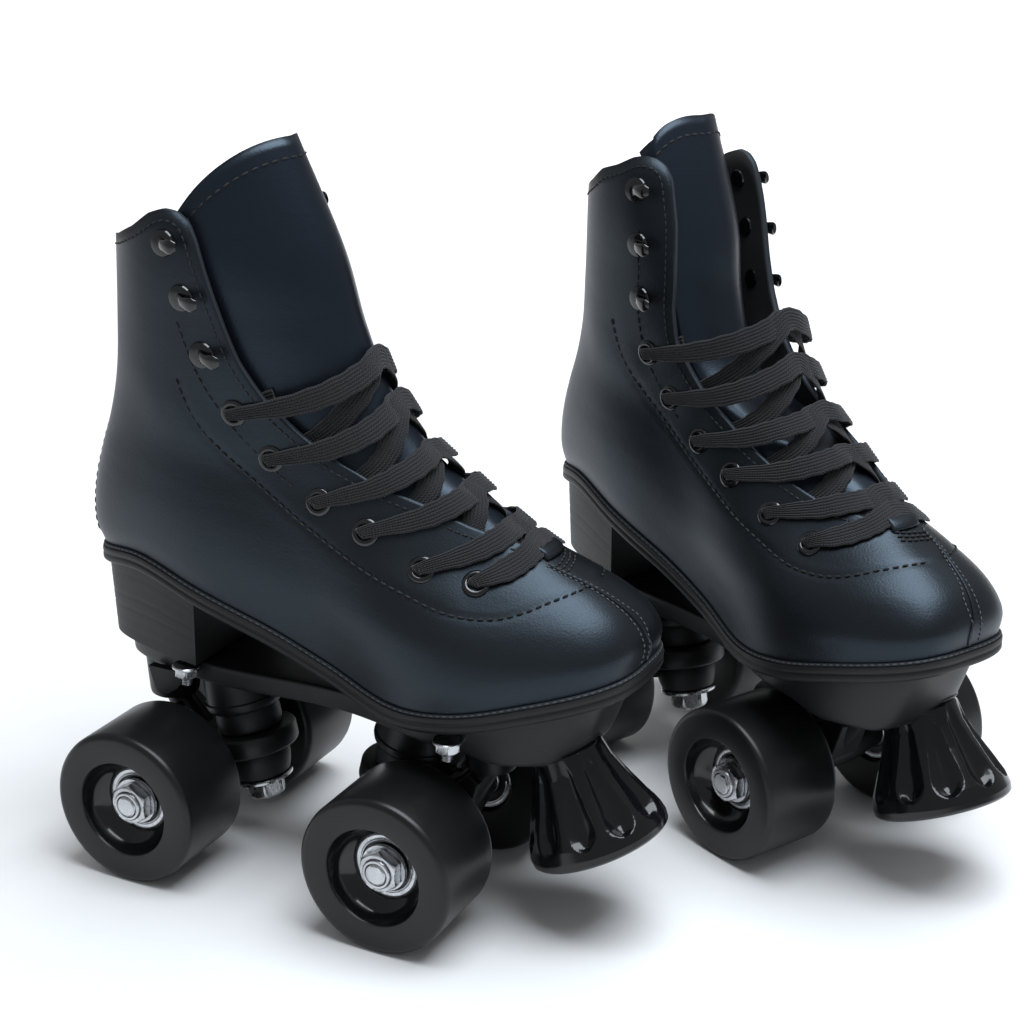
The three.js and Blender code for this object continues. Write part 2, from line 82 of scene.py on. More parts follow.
# Pairs of eyelets from the toe up: the outer one's x and z, the inner one's, and the x of the
# ridge between them.
EYELETS = ((65.5, 117, 62.7, 115.8, 76), (48, 119.5, 43.9, 120.7, 62), (28, 128.3, 23.7, 128.6, 47),
           (11, 135.5, 6.3, 135.9, 34), (-6, 147.3, -9.6, 147.5, 24), (-18, 161.3, -19.9, 161.7, 19))
# How far the form leans inwards, how far the toe turns in, and the level where the sole line fades.
INWARD, TOE_TURN, SOLE_FADE = 4.5, 3, 0.55

# The boot's form at even levels from the sole line (0) to the tongue's top (1): back x and z,
# front x and z, the power that squares the ends, and five half-widths from heel to toe.
LEVELS = np.array([
    (-85, 101, 113, 90, 0.55, 29, 31, 27.5, 40, 39),
    (-88.5, 109, 114, 99, 0.60, 31, 33, 29, 42, 40),
    (-89, 118, 108, 109, 0.65, 32, 34, 30, 40, 36),
    (-88, 127, 96, 118, 0.70, 32, 34, 29, 34, 29),
    (-85.5, 137, 80, 126, 0.75, 31.5, 33, 27.5, 28, 23),
    (-82, 148, 62, 137, 0.80, 30.5, 32, 26, 24, 20),
    (-79, 160, 43, 149, 0.85, 30, 32, 27, 24, 20),
    (-77, 174, 28, 166, 0.90, 30, 32, 29, 25.5, 21.5),
    (-76, 190, 18, 187, 0.95, 30, 32, 30, 27.5, 23.5),
    (-75, 210, 10, 212, 1.00, 30, 32, 31, 28, 24),
    (-73, 245, -7, 248, 1.00, 28, 29, 28, 24, 20),
], float)
# Height of the sole line at even steps from heel to toe.
SOLE_LINE = np.array((101, 104.5, 98.5, 90.5, 81, 74.5, 77, 83.5, 90), float)


# ---- Where each skate stands -------------------------------------------------------------------
def centre(node):
    low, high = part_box(node)
    return (low + high) / 2


def skate_matrix(side):
    """From a skate's own frame in millimetres to the row frame in metres."""
    front, rear = centre(f"{side}_front_axle"), centre(f"{side}_rear_axle")
    ahead = (front - rear).normalized()
    across = Vector((0, 0, 1)).cross(ahead) * (1 if side == "right" else -1)
    middle = (front + rear) / 2
    turn = Matrix((ahead, across, Vector((0, 0, 1)))).transposed().to_4x4()
    return Matrix.Translation((middle.x, middle.y, 0)) @ turn @ Matrix.Scale(MM, 4)


PLACE = {side: skate_matrix(side) for side in SIDES}


# ---- Camera ------------------------------------------------------------------------------------
# A separate program fitted the camera to the wheels, nuts, eyelets and hooks seen in the photo.
CAMERA_AT = (330.1, -527.4, 351.1)  # in the right skate's frame
CAMERA_HEADING, CAMERA_DOWN, CAMERA_ROLL = map(math.radians, (116.3, 20.1, 0.61))
CAMERA_LENS = 70.56


def make_camera():
    data = bpy.data.cameras.new("camera")
    data.lens = CAMERA_LENS
    data.sensor_width = 36
    data.clip_start = 0.01
    camera = bpy.data.objects.new("camera", data)
    bpy.context.scene.collection.objects.link(camera)
    flat = math.cos(CAMERA_DOWN)
    look = Vector((math.cos(CAMERA_HEADING) * flat, math.sin(CAMERA_HEADING) * flat,
                   -math.sin(CAMERA_DOWN)))
    right = look.cross(Vector((0, 0, 1))).normalized()
    up = right.cross(look)
    c, s = math.cos(CAMERA_ROLL), math.sin(CAMERA_ROLL)
    axes = Matrix((right * c + up * s, up * c - right * s, -look)).transposed().to_4x4()
    camera.matrix_world = Matrix.Translation(PLACE["right"] @ Vector(CAMERA_AT)) @ axes
    bpy.context.scene.camera = camera


# ---- Materials ---------------------------------------------------------------------------------
class Nodes:
    """A short way to write a material's node tree."""

    def __init__(self, name):
        self.material = bpy.data.materials.new(name)
        self.material.use_nodes = True
        self.tree = self.material.node_tree
        self.shader = self.tree.nodes["Principled BSDF"]
        self.place = self.tree.nodes.new("ShaderNodeTexCoord").outputs["Object"]

    def add(self, kind, **values):
        node = self.tree.nodes.new(kind)
        for key, value in values.items():
            if key[0].isupper():
                self.put(node.inputs[key.replace("_", " ")], value)
            else:
                setattr(node, key, value)
        return node

    def put(self, socket, value):
        if isinstance(value, bpy.types.NodeSocket):
            self.tree.links.new(value, socket)
        else:
            socket.default_value = value

    def noise(self, scale, detail=3.0, source=None, **more):
        made = self.add("ShaderNodeTexNoise", Scale=scale, Detail=detail, **more)
        self.put(made.inputs["Vector"], source or self.place)
        return made.outputs["Fac"]

    def cells(self, scale, feature):
        made = self.add("ShaderNodeTexVoronoi", feature=feature, Scale=scale)
        self.put(made.inputs["Vector"], self.place)
        return made.outputs["Distance"]

    def scaled(self, scale):
        made = self.add("ShaderNodeMapping", Scale=scale)
        self.put(made.inputs["Vector"], self.place)
        return made.outputs["Vector"]

    def math(self, operation, a, b=0.0):
        made = self.add("ShaderNodeMath", operation=operation)
        self.put(made.inputs[0], a)
        self.put(made.inputs[1], b)
        return made.outputs[0]

    def span(self, value, low, high, to_low=0.0, to_high=1.0):
        return self.add("ShaderNodeMapRange", Value=value, From_Min=low, From_Max=high,
                        To_Min=to_low, To_Max=to_high).outputs["Result"]

    def blend(self, factor, low, high):
        made = self.add("ShaderNodeMix", data_type="RGBA")
        self.put(made.inputs[0], factor)
        self.put(made.inputs[6], (*low, 1) if isinstance(low, tuple) else low)
        self.put(made.inputs[7], (*high, 1) if isinstance(high, tuple) else high)
        return made.outputs[2]

    def bump(self, height, strength, distance, before=None):
        made = self.add("ShaderNodeBump", Strength=strength, Distance=distance, Height=height)
        if before is not None:
            self.put(made.inputs["Normal"], before)
        return made.outputs["Normal"]

    def set(self, **values):
        for key, value in values.items():
            if isinstance(value, tuple):
                value = (*value, 1)
            self.put(self.shader.inputs[key.replace("_", " ")], value)
        return self.material


def leather_material(name, dark, light, rough, grain=1.0):
    """Coated synthetic leather: fine pebble grain, faint creases, uneven sheen."""
    n = Nodes(name)
    broad = n.noise(14, 3)
    pebbles = n.cells(1500, "SMOOTH_F1")
    fine = n.noise(2600, 2)
    creases = n.noise(90, 5, n.scaled((1, 1, 3)), Distortion=0.6)
    roughness = n.math("ADD", n.span(broad, 0.3, 0.7, rough - 0.05, rough + 0.06),
                       n.span(fine, 0.3, 0.7, -0.03, 0.03))
    first = n.bump(creases, 0.12 * grain, 0.0006)
    second = n.bump(pebbles, 0.30 * grain, 0.00012, first)
    return n.set(Base_Color=n.blend(broad, dark, light), Roughness=roughness,
                 Normal=n.bump(fine, 0.15, 0.00005, second), Specular_IOR_Level=0.5,
                 Specular_Tint=(0.61, 0.80, 1.0))


def moulded_material(name, dark, light, rough, speckle=0.25, coat=0.0, spread=0.05):
    """Moulded plastic, rubber or urethane: faint flow lines, fine texture and scuffs."""
    n = Nodes(name)
    broad = n.noise(22, 4)
    fine = n.noise(1800, 3)
    scuffs = n.span(n.noise(160, 6, n.scaled((1, 4, 1)), Distortion=1.2), 0.62, 0.75)
    roughness = n.math("ADD", n.span(broad, 0.3, 0.7, rough - spread, rough + spread),
                       n.math("MULTIPLY", scuffs, 0.08))
    tone = n.math("ADD", broad, n.math("MULTIPLY", scuffs, 0.3))
    return n.set(Base_Color=n.blend(tone, dark, light), Specular_IOR_Level=0.35, Roughness=roughness,
                 Normal=n.bump(fine, speckle, 0.00008), Coat_Weight=coat, Coat_Roughness=0.08)


def metal_material(name, color, rough):
    """Zinc-plated or turned steel: brushed lines, stains in the plating."""
    n = Nodes(name)
    lines = n.noise(500, 3, n.scaled((1, 30, 1)))
    stains = n.noise(120, 5)
    dark = tuple(0.72 * c for c in color)
    return n.set(Base_Color=n.blend(n.span(stains, 0.35, 0.65), dark, color), Metallic=1.0,
                 Roughness=n.span(lines, 0.3, 0.7, rough - 0.07, rough + 0.1),
                 Normal=n.bump(lines, 0.12, 0.00006))


def lace_material():
    """Flat braid: diagonal yarns crossing both ways, with fuzz."""
    n = Nodes("lace_braid")
    uv = n.tree.nodes.new("ShaderNodeTexCoord").outputs["UV"]
    waves = []
    for slant in (1, -1):
        turned = n.add("ShaderNodeMapping", Rotation=(0, 0, slant * math.radians(52)))
        n.put(turned.inputs["Vector"], uv)
        wave = n.add("ShaderNodeTexWave", Scale=0.42, Distortion=0.4, Detail=1.0)
        n.put(wave.inputs["Vector"], turned.outputs["Vector"])
        waves.append(wave.outputs["Fac"])
    braid = n.math("MAXIMUM", *waves)
    fuzz = n.noise(3000, 3)
    tone = n.math("ADD", n.math("MULTIPLY", braid, 0.7), n.math("MULTIPLY", fuzz, 0.3))
    return n.set(Base_Color=n.blend(tone, (0.004, 0.0043, 0.005), (0.0135, 0.0145, 0.017)),
                 Roughness=n.span(fuzz, 0.3, 0.7, 0.72, 0.9), Sheen_Weight=0.18,
                 Sheen_Roughness=0.4, Normal=n.bump(tone, 0.8, 0.0003))


def woven_material(name, dark, light):
    """Lining cloth: a fine plain weave."""
    n = Nodes(name)
    waves = []
    for direction in ("X", "Z"):
        wave = n.add("ShaderNodeTexWave", Scale=450.0, bands_direction=direction)
        n.put(wave.inputs["Vector"], n.place)
        waves.append(wave.outputs["Fac"])
    weave = n.math("MULTIPLY", *waves)
    return n.set(Base_Color=n.blend(n.math("ADD", weave, n.noise(60, 3)), dark, light),
                 Roughness=0.85, Normal=n.bump(weave, 0.4, 0.0002))


def thread_material(name, dark, light):
    """Sewing thread: its twist as fine slanting bands."""
    n = Nodes(name)
    twist = n.add("ShaderNodeTexWave", Scale=900.0, bands_direction="DIAGONAL")
    n.put(twist.inputs["Vector"], n.place)
    return n.set(Base_Color=n.blend(twist.outputs["Fac"], dark, light), Roughness=0.65,
                 Normal=n.bump(twist.outputs["Fac"], 0.5, 0.0001))


def make_materials():
    leather, moulded = leather_material, moulded_material
    metal, thread = metal_material, thread_material
    black, gloss = (0.004, 0.004, 0.0045), (0.007, 0.007, 0.008)
    return {
        "leather": leather("boot_leather", (0.0045,) * 3, (0.007,) * 3, 0.40),
        "tongue": leather("tongue_leather", (0.004, 0.005, 0.008), (0.006, 0.0075, 0.012), 0.34, 0.7),
        "edge": leather("cut_leather_edge", (0.013, 0.0135, 0.015), (0.03, 0.031, 0.033), 0.6, 2.0),
        "lining": woven_material("boot_lining", (0.008, 0.008, 0.009), (0.02, 0.02, 0.022)),
        "sole": moulded("sole_rubber", (0.0045, 0.0045, 0.0048), (0.0085, 0.0085, 0.009), 0.5, 0.5),
        "plastic": moulded("plate_plastic", (0.006, 0.006, 0.0065), (0.011, 0.011, 0.012), 0.42, 0.4),
        "wheel": moulded("wheel_urethane", (0.006, 0.006, 0.0063), (0.010, 0.010, 0.0105), 0.34, 0.15),
        "hub": moulded("hub_gloss", black, gloss, 0.16, 0.08, 0.4),
        "stop": moulded("toe_stop_gloss", (0.0035, 0.0037, 0.0045), (0.006, 0.0065, 0.008), 0.17, 0.06,
                        0.15, 0.03),
        "cushion": moulded("cushion_rubber", (0.010, 0.010, 0.011), (0.016, 0.016, 0.017), 0.5, 0.3),
        "steel": metal("zinc_steel", (0.62, 0.63, 0.65), 0.26),
        "dark_steel": metal("bearing_shield", (0.07, 0.07, 0.073), 0.38),
        "enamel": moulded("black_enamel", black, gloss, 0.16, 0.05, 0.6),
        "lace": lace_material(),
        "thread": thread("black_thread", (0.004, 0.004, 0.005), (0.014, 0.014, 0.016)),
        "pale_thread": thread("pale_thread", (0.05, 0.05, 0.052), (0.13, 0.13, 0.135)),
    }


# ---- Mesh helpers ------------------------------------------------------------------------------
class Shape:
    """Points and faces in a skate's own frame, with a material number for each face."""

    def __init__(self):
        self.points, self.faces, self.mats, self.uvs, self.count = [], [], [], {}, 0

    def add(self, points, faces, mat=0, uv=None):
        points = np.asarray(points, float).reshape(-1, 3)
        base = self.count
        for k, face in enumerate(faces):
            if uv is not None:
                self.uvs[len(self.faces)] = [uv[i] for i in face]
            self.faces.append([base + i for i in face])
            self.mats.append(mat if np.isscalar(mat) else mat[k])
        self.points.append(points)
        self.count += len(points)
        return self

    def grid(self, rows, closed=False, loop=False, caps=False, mat=0, uv=None):
        """Rows of points joined to quads.

        closed joins each row's ends, loop the last row to the first, and caps fills the end rows.
        """
        rows = np.asarray(rows, float)
        r, c = rows.shape[:2]
        faces = []
        for i in range(r if loop else r - 1):
            for j in range(c if closed else c - 1):
                k, n = (j + 1) % c, (i + 1) % r
                faces.append((i * c + j, i * c + k, n * c + k, n * c + j))
        if caps:
            faces += [tuple(reversed(range(c))), tuple(range((r - 1) * c, r * c))]
        return self.add(rows, faces, mat, uv)

    def place(self, name, body, looks, replaces=(), slot=None, bevel=None, smooth=35, solidify=None,
              sides=SIDES):
        """One object for each skate, riding on its body. Names and nodes get the side's prefix.

        solidify is the thickness and the steps in the material list to the inside and the rim.
        """
        points = np.concatenate(self.points)
        for side in sides:
            m = np.array(PLACE[side])
            world = points @ m[:3, :3].T + m[:3, 3]
            faces = self.faces if side == "right" else [f[::-1] for f in self.faces]
            mesh = bpy.data.meshes.new(f"{side}_{name}")
            mesh.from_pydata(world.tolist(), [], faces)
            for look in looks:
                mesh.materials.append(MATERIALS[look])
            mesh.polygons.foreach_set("material_index", self.mats)
            if self.uvs:
                self.write_uvs(mesh, side)
            mesh.update()
            obj = bpy.data.objects.new(f"{side}_{name}", mesh)
            bpy.context.scene.collection.objects.link(obj)
            self.finish(obj, bevel, smooth, solidify)
            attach(obj, f"{side}_{body}")
            if replaces:
                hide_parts(*[f"{side}_{node}" for node in replaces])

    def write_uvs(self, mesh, side):
        layer = mesh.uv_layers.new(name="UVMap")
        for index, polygon in enumerate(mesh.polygons):
            values = self.uvs.get(index)
            if values is None:
                continue
            if side == "left":
                values = values[::-1]
            for loop, value in zip(polygon.loop_indices, values):
                layer.data[loop].uv = value

    @staticmethod
    def finish(obj, bevel, smooth, solidify):
        mesh = obj.data
        bm = bmesh.new()
        bm.from_mesh(mesh)
        bmesh.ops.remove_doubles(bm, verts=bm.verts, dist=WELD)
        if solidify is None:
            bmesh.ops.recalc_face_normals(bm, faces=bm.faces)
        bm.to_mesh(mesh)
        bm.free()
        mesh.shade_smooth()
        if solidify:
            thick = obj.modifiers.new("thickness", "SOLIDIFY")
            thick.thickness = solidify[0] * MM
            thick.offset = -1
            thick.use_even_offset = False
            thick.material_offset, thick.material_offset_rim = solidify[1], solidify[2]
        if bevel:
            rounding = obj.modifiers.new("rounding", "BEVEL")
            rounding.width = bevel * MM
            rounding.segments = 3
            rounding.limit_method = "ANGLE"
            rounding.angle_limit = math.radians(40)
            rounding.harden_normals = False
        mesh.set_sharp_from_angle(angle=math.radians(smooth))


def frame_of(along):
    """A unit direction and two more square to it."""
    along = np.asarray(along, float)
    along = along / np.linalg.norm(along)
    helper = np.array((0, 0, 1.0)) if abs(along[2]) < 0.9 else np.array((1.0, 0, 0))
    side = np.cross(helper, along)
    side /= np.linalg.norm(side)
    return along, side, np.cross(along, side)


def turned(shape, start, along, profile, segments=64, caps=False, mat=0):
    """A profile of (distance along, radius) turned about an axis."""
    along, a, b = frame_of(along)
    turns = np.linspace(0, 2 * np.pi, segments, endpoint=False)
    ring = np.cos(turns)[:, None] * a + np.sin(turns)[:, None] * b
    rows = [np.asarray(start) + along * s + ring * max(r, 0.001) for s, r in profile]
    return shape.grid(rows, closed=True, caps=caps, mat=mat)


def tube(shape, path, radius, segments=10):
    """A round tube along a path of points; radius may be a number or one for each point."""
    path = np.asarray(path, float)
    ahead = np.gradient(path, axis=0)
    ahead /= np.linalg.norm(ahead, axis=1)[:, None]
    side = np.cross(ahead[0], (0.3, 0.2, 0.9))
    radius = np.broadcast_to(np.asarray(radius, float), len(path))
    turns = np.linspace(0, 2 * np.pi, segments, endpoint=False)
    rows = []
    for p, t, r in zip(path, ahead, radius):
        side = side - t * side.dot(t)
        side /= np.linalg.norm(side)
        up = np.cross(t, side)
        rows.append(p + r * (np.cos(turns)[:, None] * side + np.sin(turns)[:, None] * up))
    return shape.grid(rows, closed=True, caps=True)


def extruded(shape, flat, low, high):
    """An outline in x and z pushed sideways from low to high."""
    flat = np.asarray(flat, float)
    rows = [np.column_stack((flat, np.full(len(flat), v)))[:, [0, 2, 1]] for v in (low, high)]
    return shape.grid(rows, closed=True, caps=True)


# ---- The boot's form ---------------------------------------------------------------------------
def smooth(values, t):
    """Catmull-Rom interpolation of evenly spaced values along the last axis, t from 0 to 1."""
    values, t = np.asarray(values, float), np.asarray(t, float)
    n = values.shape[-1]
    place = np.clip(t, 0, 1) * (n - 1)
    i = np.minimum(place.astype(int), n - 2)
    f = place - i

    def get(k):
        k = np.clip(k, 0, n - 1)
        return values[k] if values.ndim == 1 else np.take_along_axis(values, k[..., None], -1)[..., 0]

    b, c = get(i), get(i + 1)
    a = np.where(i > 0, get(i - 1), 2 * b - c)
    d = np.where(i + 2 < n, get(i + 2), 2 * c - b)
    return b + 0.5 * f * (c - a + f * (2 * a - 5 * b + 4 * c - d + f * (3 * (b - c) + d - a)))


def level(column, u):
    """A column of the form's table at a level."""
    return smooth(LEVELS[:, column], u)


def sole_share(x):
    return (x - LEVELS[0, 0]) / (LEVELS[0, 2] - LEVELS[0, 0])


def sole_z(x):
    return smooth(SOLE_LINE, sole_share(np.asarray(x, float)))


def outside(u, turn):
    """Points of the boot's outside at level u and angle turn, which is 0 at the toe."""
    u, turn = np.broadcast_arrays(np.asarray(u, float), np.asarray(turn, float))
    t = (1 + np.cos(turn)) / 2
    x = level(0, u) + (level(2, u) - level(0, u)) * t
    share = sole_share(x)
    dip = smooth(SOLE_LINE, share) - (LEVELS[0, 1] + (LEVELS[0, 3] - LEVELS[0, 1]) * share)
    z = level(1, u) + (level(3, u) - level(1, u)) * t + dip * np.maximum(0, 1 - u / SOLE_FADE)
    half = smooth(np.stack([level(k, u) for k in range(5, 10)], -1), t)
    sine = np.sin(turn)
    across = np.sign(sine) * np.abs(sine) ** level(4, u) * half
    y = INWARD + across + TOE_TURN * t * t * np.maximum(0, 1 - u / 0.8)
    return np.stack((x, y, z), -1)


def normals(u, turn):
    """Unit vectors square to the boot's outside."""
    u, turn = np.broadcast_arrays(np.asarray(u, float), np.asarray(turn, float))
    up = outside(np.minimum(u + 0.02, 1), turn) - outside(np.maximum(u - 0.02, 0), turn)
    around = outside(u, turn + 0.06) - outside(u, turn - 0.06)
    n = np.cross(around, up)
    return n / np.linalg.norm(n, axis=-1, keepdims=True)


def boot(u, turn, inset=0.0):
    """Points moved square to the surface, inwards by inset."""
    return outside(u, turn) - normals(u, turn) * np.asarray(inset, float)[..., None]


def turn_at(u, x):
    """The angle at which a level reaches x."""
    t = (x - level(0, u)) / (level(2, u) - level(0, u))
    return np.arccos(np.clip(2 * t - 1, -1, 1))


def bisect(low, high, test):
    """The value between low and high up to which a test holds."""
    for _ in range(40):
        middle = (low + high) / 2
        low, high = (low, middle) if test(middle) else (middle, high)
    return low


def on_side(x, z):
    """The level and angle of a side point given by x and z."""
    u = bisect(0.02, 0.99, lambda v: outside(v, turn_at(v, x))[2] > z)
    return u, float(turn_at(u, x))


def ridge_level(x):
    """The level whose front lies at x."""
    return bisect(0.15, 1.0, lambda v: level(2, v) < x)


# For each pair: the outer eyelet's level and angle, the inner one's, and the ridge's level.
LACING = np.array([(*on_side(x, z), *on_side(inner_x, inner_z), ridge_level(ridge))
                   for x, z, inner_x, inner_z, ridge in EYELETS])


def instep(k, across, inset):
    """A place on the instep: pair of eyelets k, whole or between, and across from -1 to 1."""
    k, across = np.asarray(k, float), np.asarray(across, float)
    outer, outer_turn, inner, inner_turn, top = [smooth(column, k / (len(EYELETS) - 1))
                                                 for column in LACING.T]
    side = np.where(across < 0, outer, inner)
    turn = np.where(across < 0, outer_turn, inner_turn)
    return boot(top + (side - top) * np.abs(across) ** 1.35, across * turn, inset)


def along(points, count):
    """Evenly spaced points along a polyline, rounded off by Catmull-Rom."""
    points = np.asarray(points, float)
    fine = np.stack([smooth(column, np.linspace(0, 1, 400)) for column in points.T], -1)
    steps = np.r_[0, np.cumsum(np.linalg.norm(np.diff(fine, axis=0), axis=1))]
    want = np.linspace(0, steps[-1], count)
    return np.stack([np.interp(want, steps, column) for column in fine.T], -1)


# The upper's free edge on the outer (-1) and inner (1) side, x and z: from the throat's foot up
# the facing, round its corner and back along the collar. The points are a separate program's, from
# places read off the photo, and most of them were then rounded or moved by eye.
COLLAR = ((-45, 223.3), (-53, 218), (-63, 213.5), (-74, 209.5), (-79, 208.5))
EDGE = {
    -1: ((73, 126.5), (58, 131.5), (43, 137.5), (28, 142.5), (14, 149.5), (4, 156), (-7.5, 166.5),
         (-15.5, 178.5), (-21, 193), (-25, 206), (-28, 216), (-30.5, 221.5), (-34.5, 224.5), (-39.5, 225.2),
         *COLLAR),
    1: ((73, 125), (57, 127.5), (43.5, 131.8), (24.3, 140.3), (9.2, 149.3), (-1, 158.5), (-7.7, 167.5),
        (-10, 180.3), (-9.9, 190), (-10.3, 199), (-11.2, 208), (-13.4, 216), (-15.8, 223.5), (-18.9, 227.6),
        (-22.5, 229.5), (-26, 230), (-30, 229.3), (-36.8, 225.8), *COLLAR),
}
FOOT_LEVEL = 0.385  # level of the throat's foot
HEEL_LEVEL = on_side(-78, 208.5)[0]
EDGE_TABLE = {side: np.array([(FOOT_LEVEL, 0.0), *[on_side(x, z) for x, z in points],
                              (HEEL_LEVEL, math.pi)])
              for side, points in EDGE.items()}


def facing_turn(u, side):
    """Angle of the facing's edge at a level."""
    table = EDGE_TABLE[side]
    rising = table[:np.argmax(table[:, 0]) + 1]
    return np.interp(u, rising[:, 0], rising[:, 1])


# ---- The upper ---------------------------------------------------------------------------------
def rim_curve(count, side):
    """Level and angle along a side's free edge, from the throat's foot to the heel's middle."""
    table = EDGE_TABLE[side]
    places = boot(table[:, 0], table[:, 1])
    steps = np.r_[0, np.cumsum(np.linalg.norm(np.diff(places, axis=0), axis=1))]
    want = np.linspace(0, steps[-1], count)
    dense = np.linspace(0, steps[-1], count * 4)
    soft = np.stack([np.interp(dense, steps, column) for column in table.T], -1)
    kernel = np.array((1, 2, 3, 2, 1)) / 9.0
    padded = np.concatenate((np.repeat(soft[:1], 2, 0), soft, np.repeat(soft[-1:], 2, 0)))
    soft = np.stack([np.convolve(padded[:, k], kernel, "valid") for k in (0, 1)], -1)
    soft[0], soft[-1] = table[0], table[-1]
    return np.stack([np.interp(want, dense, column) for column in soft.T], -1)


def even_turns(u, count):
    """Angles from 0 to pi that divide a level's half round evenly by length."""
    turns = np.linspace(0, math.pi, 721)
    places = outside(u, turns)
    steps = np.r_[0, np.cumsum(np.linalg.norm(np.diff(places, axis=0), axis=1))]
    return np.interp(np.linspace(0, steps[-1], count), steps, turns)


UPPER_COLUMNS, UPPER_ROWS = 120, 56
RIM_STEPS = 260  # places along a line of edge stitching
PROUD = -0.12  # inset of threads that stand a little out of the leather
HOOK_LINE_TOP = 219  # height where the stitches behind the hooks end


def upper_grid(side):
    """Levels and angles of one half of the upper, rows from the sole to the free edge."""
    rim = rim_curve(UPPER_COLUMNS, side)
    share = np.linspace(0, 1, UPPER_COLUMNS)
    low = np.interp(1 - (1 - share) ** 1.5, share, even_turns(0.05, UPPER_COLUMNS))
    part = np.linspace(0, 1, UPPER_ROWS)[:, None]
    return part * rim[:, 0], side * (low + (rim[:, 1] - low) * part ** 1.6)


def pucker(u, turn):
    """Small lifts and hollows of the leather: soft waves at the ankle and pulls at the eyelets."""
    points = outside(u, turn)
    x, z = points[..., 0], points[..., 2]
    flex = np.exp(-((z - 148 + 0.35 * (x + 20)) / 20) ** 2) * np.exp(-((x + 30) / 34) ** 2)
    waves = 0.28 * np.sin((z + 0.6 * x) / 5.2 + 0.5 * np.sin(x / 11)) * flex
    vamp = np.exp(-((x - 60) / 22) ** 2) * np.exp(-((z - 112) / 14) ** 2)
    waves += 0.16 * np.sin(x / 6.5 + z / 9) * vamp
    for outer_x, outer_z, inner_x, inner_z, _ in EYELETS:
        ex, ez = np.where(turn < 0, outer_x, inner_x), np.where(turn < 0, outer_z, inner_z)
        waves -= 0.35 * np.exp(-((x - ex) ** 2 + (z - ez) ** 2) / 30)
    return waves


# The vamp's seam on both sides, from the facing round to the toe: a groove and stitches follow this
# line (level, angle). A separate program worked out most of its points, of TOE_SEAM's and of HOOKS',
# and EYELETS' inner ones, from places read off the photo.
VAMP_SEAM = ((0.70, -1.83), (0.61, -1.79), (0.520, -1.690), (0.456, -1.574), (0.407, -1.467),
             (0.369, -1.357), (0.339, -1.251), (0.309, -1.109), (0.274, -0.979), (0.260, -0.865),
             (0.257, -0.754), (0.267, -0.620), (0.284, -0.459), (0.297, -0.254), (0.300, -0.060))


def groove(points, line, width, depth):
    """How far points lie pushed in by a sewn line."""
    flat = points.reshape(-1, 3)
    distance = np.full(len(flat), 1e9)
    for a, b in zip(line[:-1], line[1:]):
        ab = b - a
        t = np.clip(((flat - a) @ ab) / ab.dot(ab), 0, 1)
        distance = np.minimum(distance, np.linalg.norm(flat - a - t[:, None] * ab, axis=1))
    return (depth * np.exp(-(distance / width) ** 2)).reshape(points.shape[:-1])


def make_upper():
    """The leather shell: both halves from the tucked-in lower edge to the free edge."""
    shape = Shape()
    (outer_u, outer_turn), (inner_u, inner_turn) = upper_grid(-1), upper_grid(1)
    u = np.concatenate((outer_u[:, ::-1], inner_u[:, 1:]), 1)
    turn = np.concatenate((outer_turn[:, ::-1], inner_turn[:, 1:]), 1)
    points = boot(u, turn, -pucker(u, turn))
    normal = normals(u, turn)
    for sign in (-1, 1):
        line = seam_path(VAMP_SEAM, sign, 60)
        points = points - normal * groove(points, line, 0.9, 0.35)[..., None]
    tuck = boot(u[0], turn[0], 1.2) - (0, 0, 2.2)
    under = boot(u[0], turn[0], 4.5) - (0, 0, 2.6)
    rows = np.concatenate((under[None], tuck[None], points))
    shape.grid(rows)
    shape.place("boot_upper_leather", "boot", ("leather", "lining", "edge"), replaces=("boot_upper",),
                slot="synthetic_leather", solidify=(LEATHER, 1, 2), smooth=60)


def seam_path(line, sign, count, inset=0.0):
    """Points along a line of levels and angles, mirrored across the boot for sign 1."""
    table = np.asarray(line, float) * (1, -sign if line[0][1] < 0 else sign)
    fine = np.linspace(0, 1, 300)
    u, turn = smooth(table[:, 0], fine), smooth(table[:, 1], fine)
    points = boot(u, turn, inset)
    steps = np.r_[0, np.cumsum(np.linalg.norm(np.diff(points, axis=0), axis=1))]
    want = np.interp(np.linspace(0, steps[-1], count), steps, fine)
    return boot(smooth(table[:, 0], want), smooth(table[:, 1], want), inset)


def stitches(shape, path, pitch=3.1, share=0.72, radius=0.33):
    """Threads lying along a path, each a short capsule whose ends dip into the leather."""
    steps = np.r_[0, np.cumsum(np.linalg.norm(np.diff(path, axis=0), axis=1))]
    count = max(2, int(steps[-1] / pitch))
    pitch = steps[-1] / count
    for k in range(count):
        s = (k + 0.5 + np.linspace(-0.5, 0.5, 7) * share) * pitch
        run = np.stack([np.interp(s, steps, column) for column in path.T], -1)
        tube(shape, run, radius * np.array((0.25, 0.75, 1, 1, 1, 0.75, 0.25)), 6)


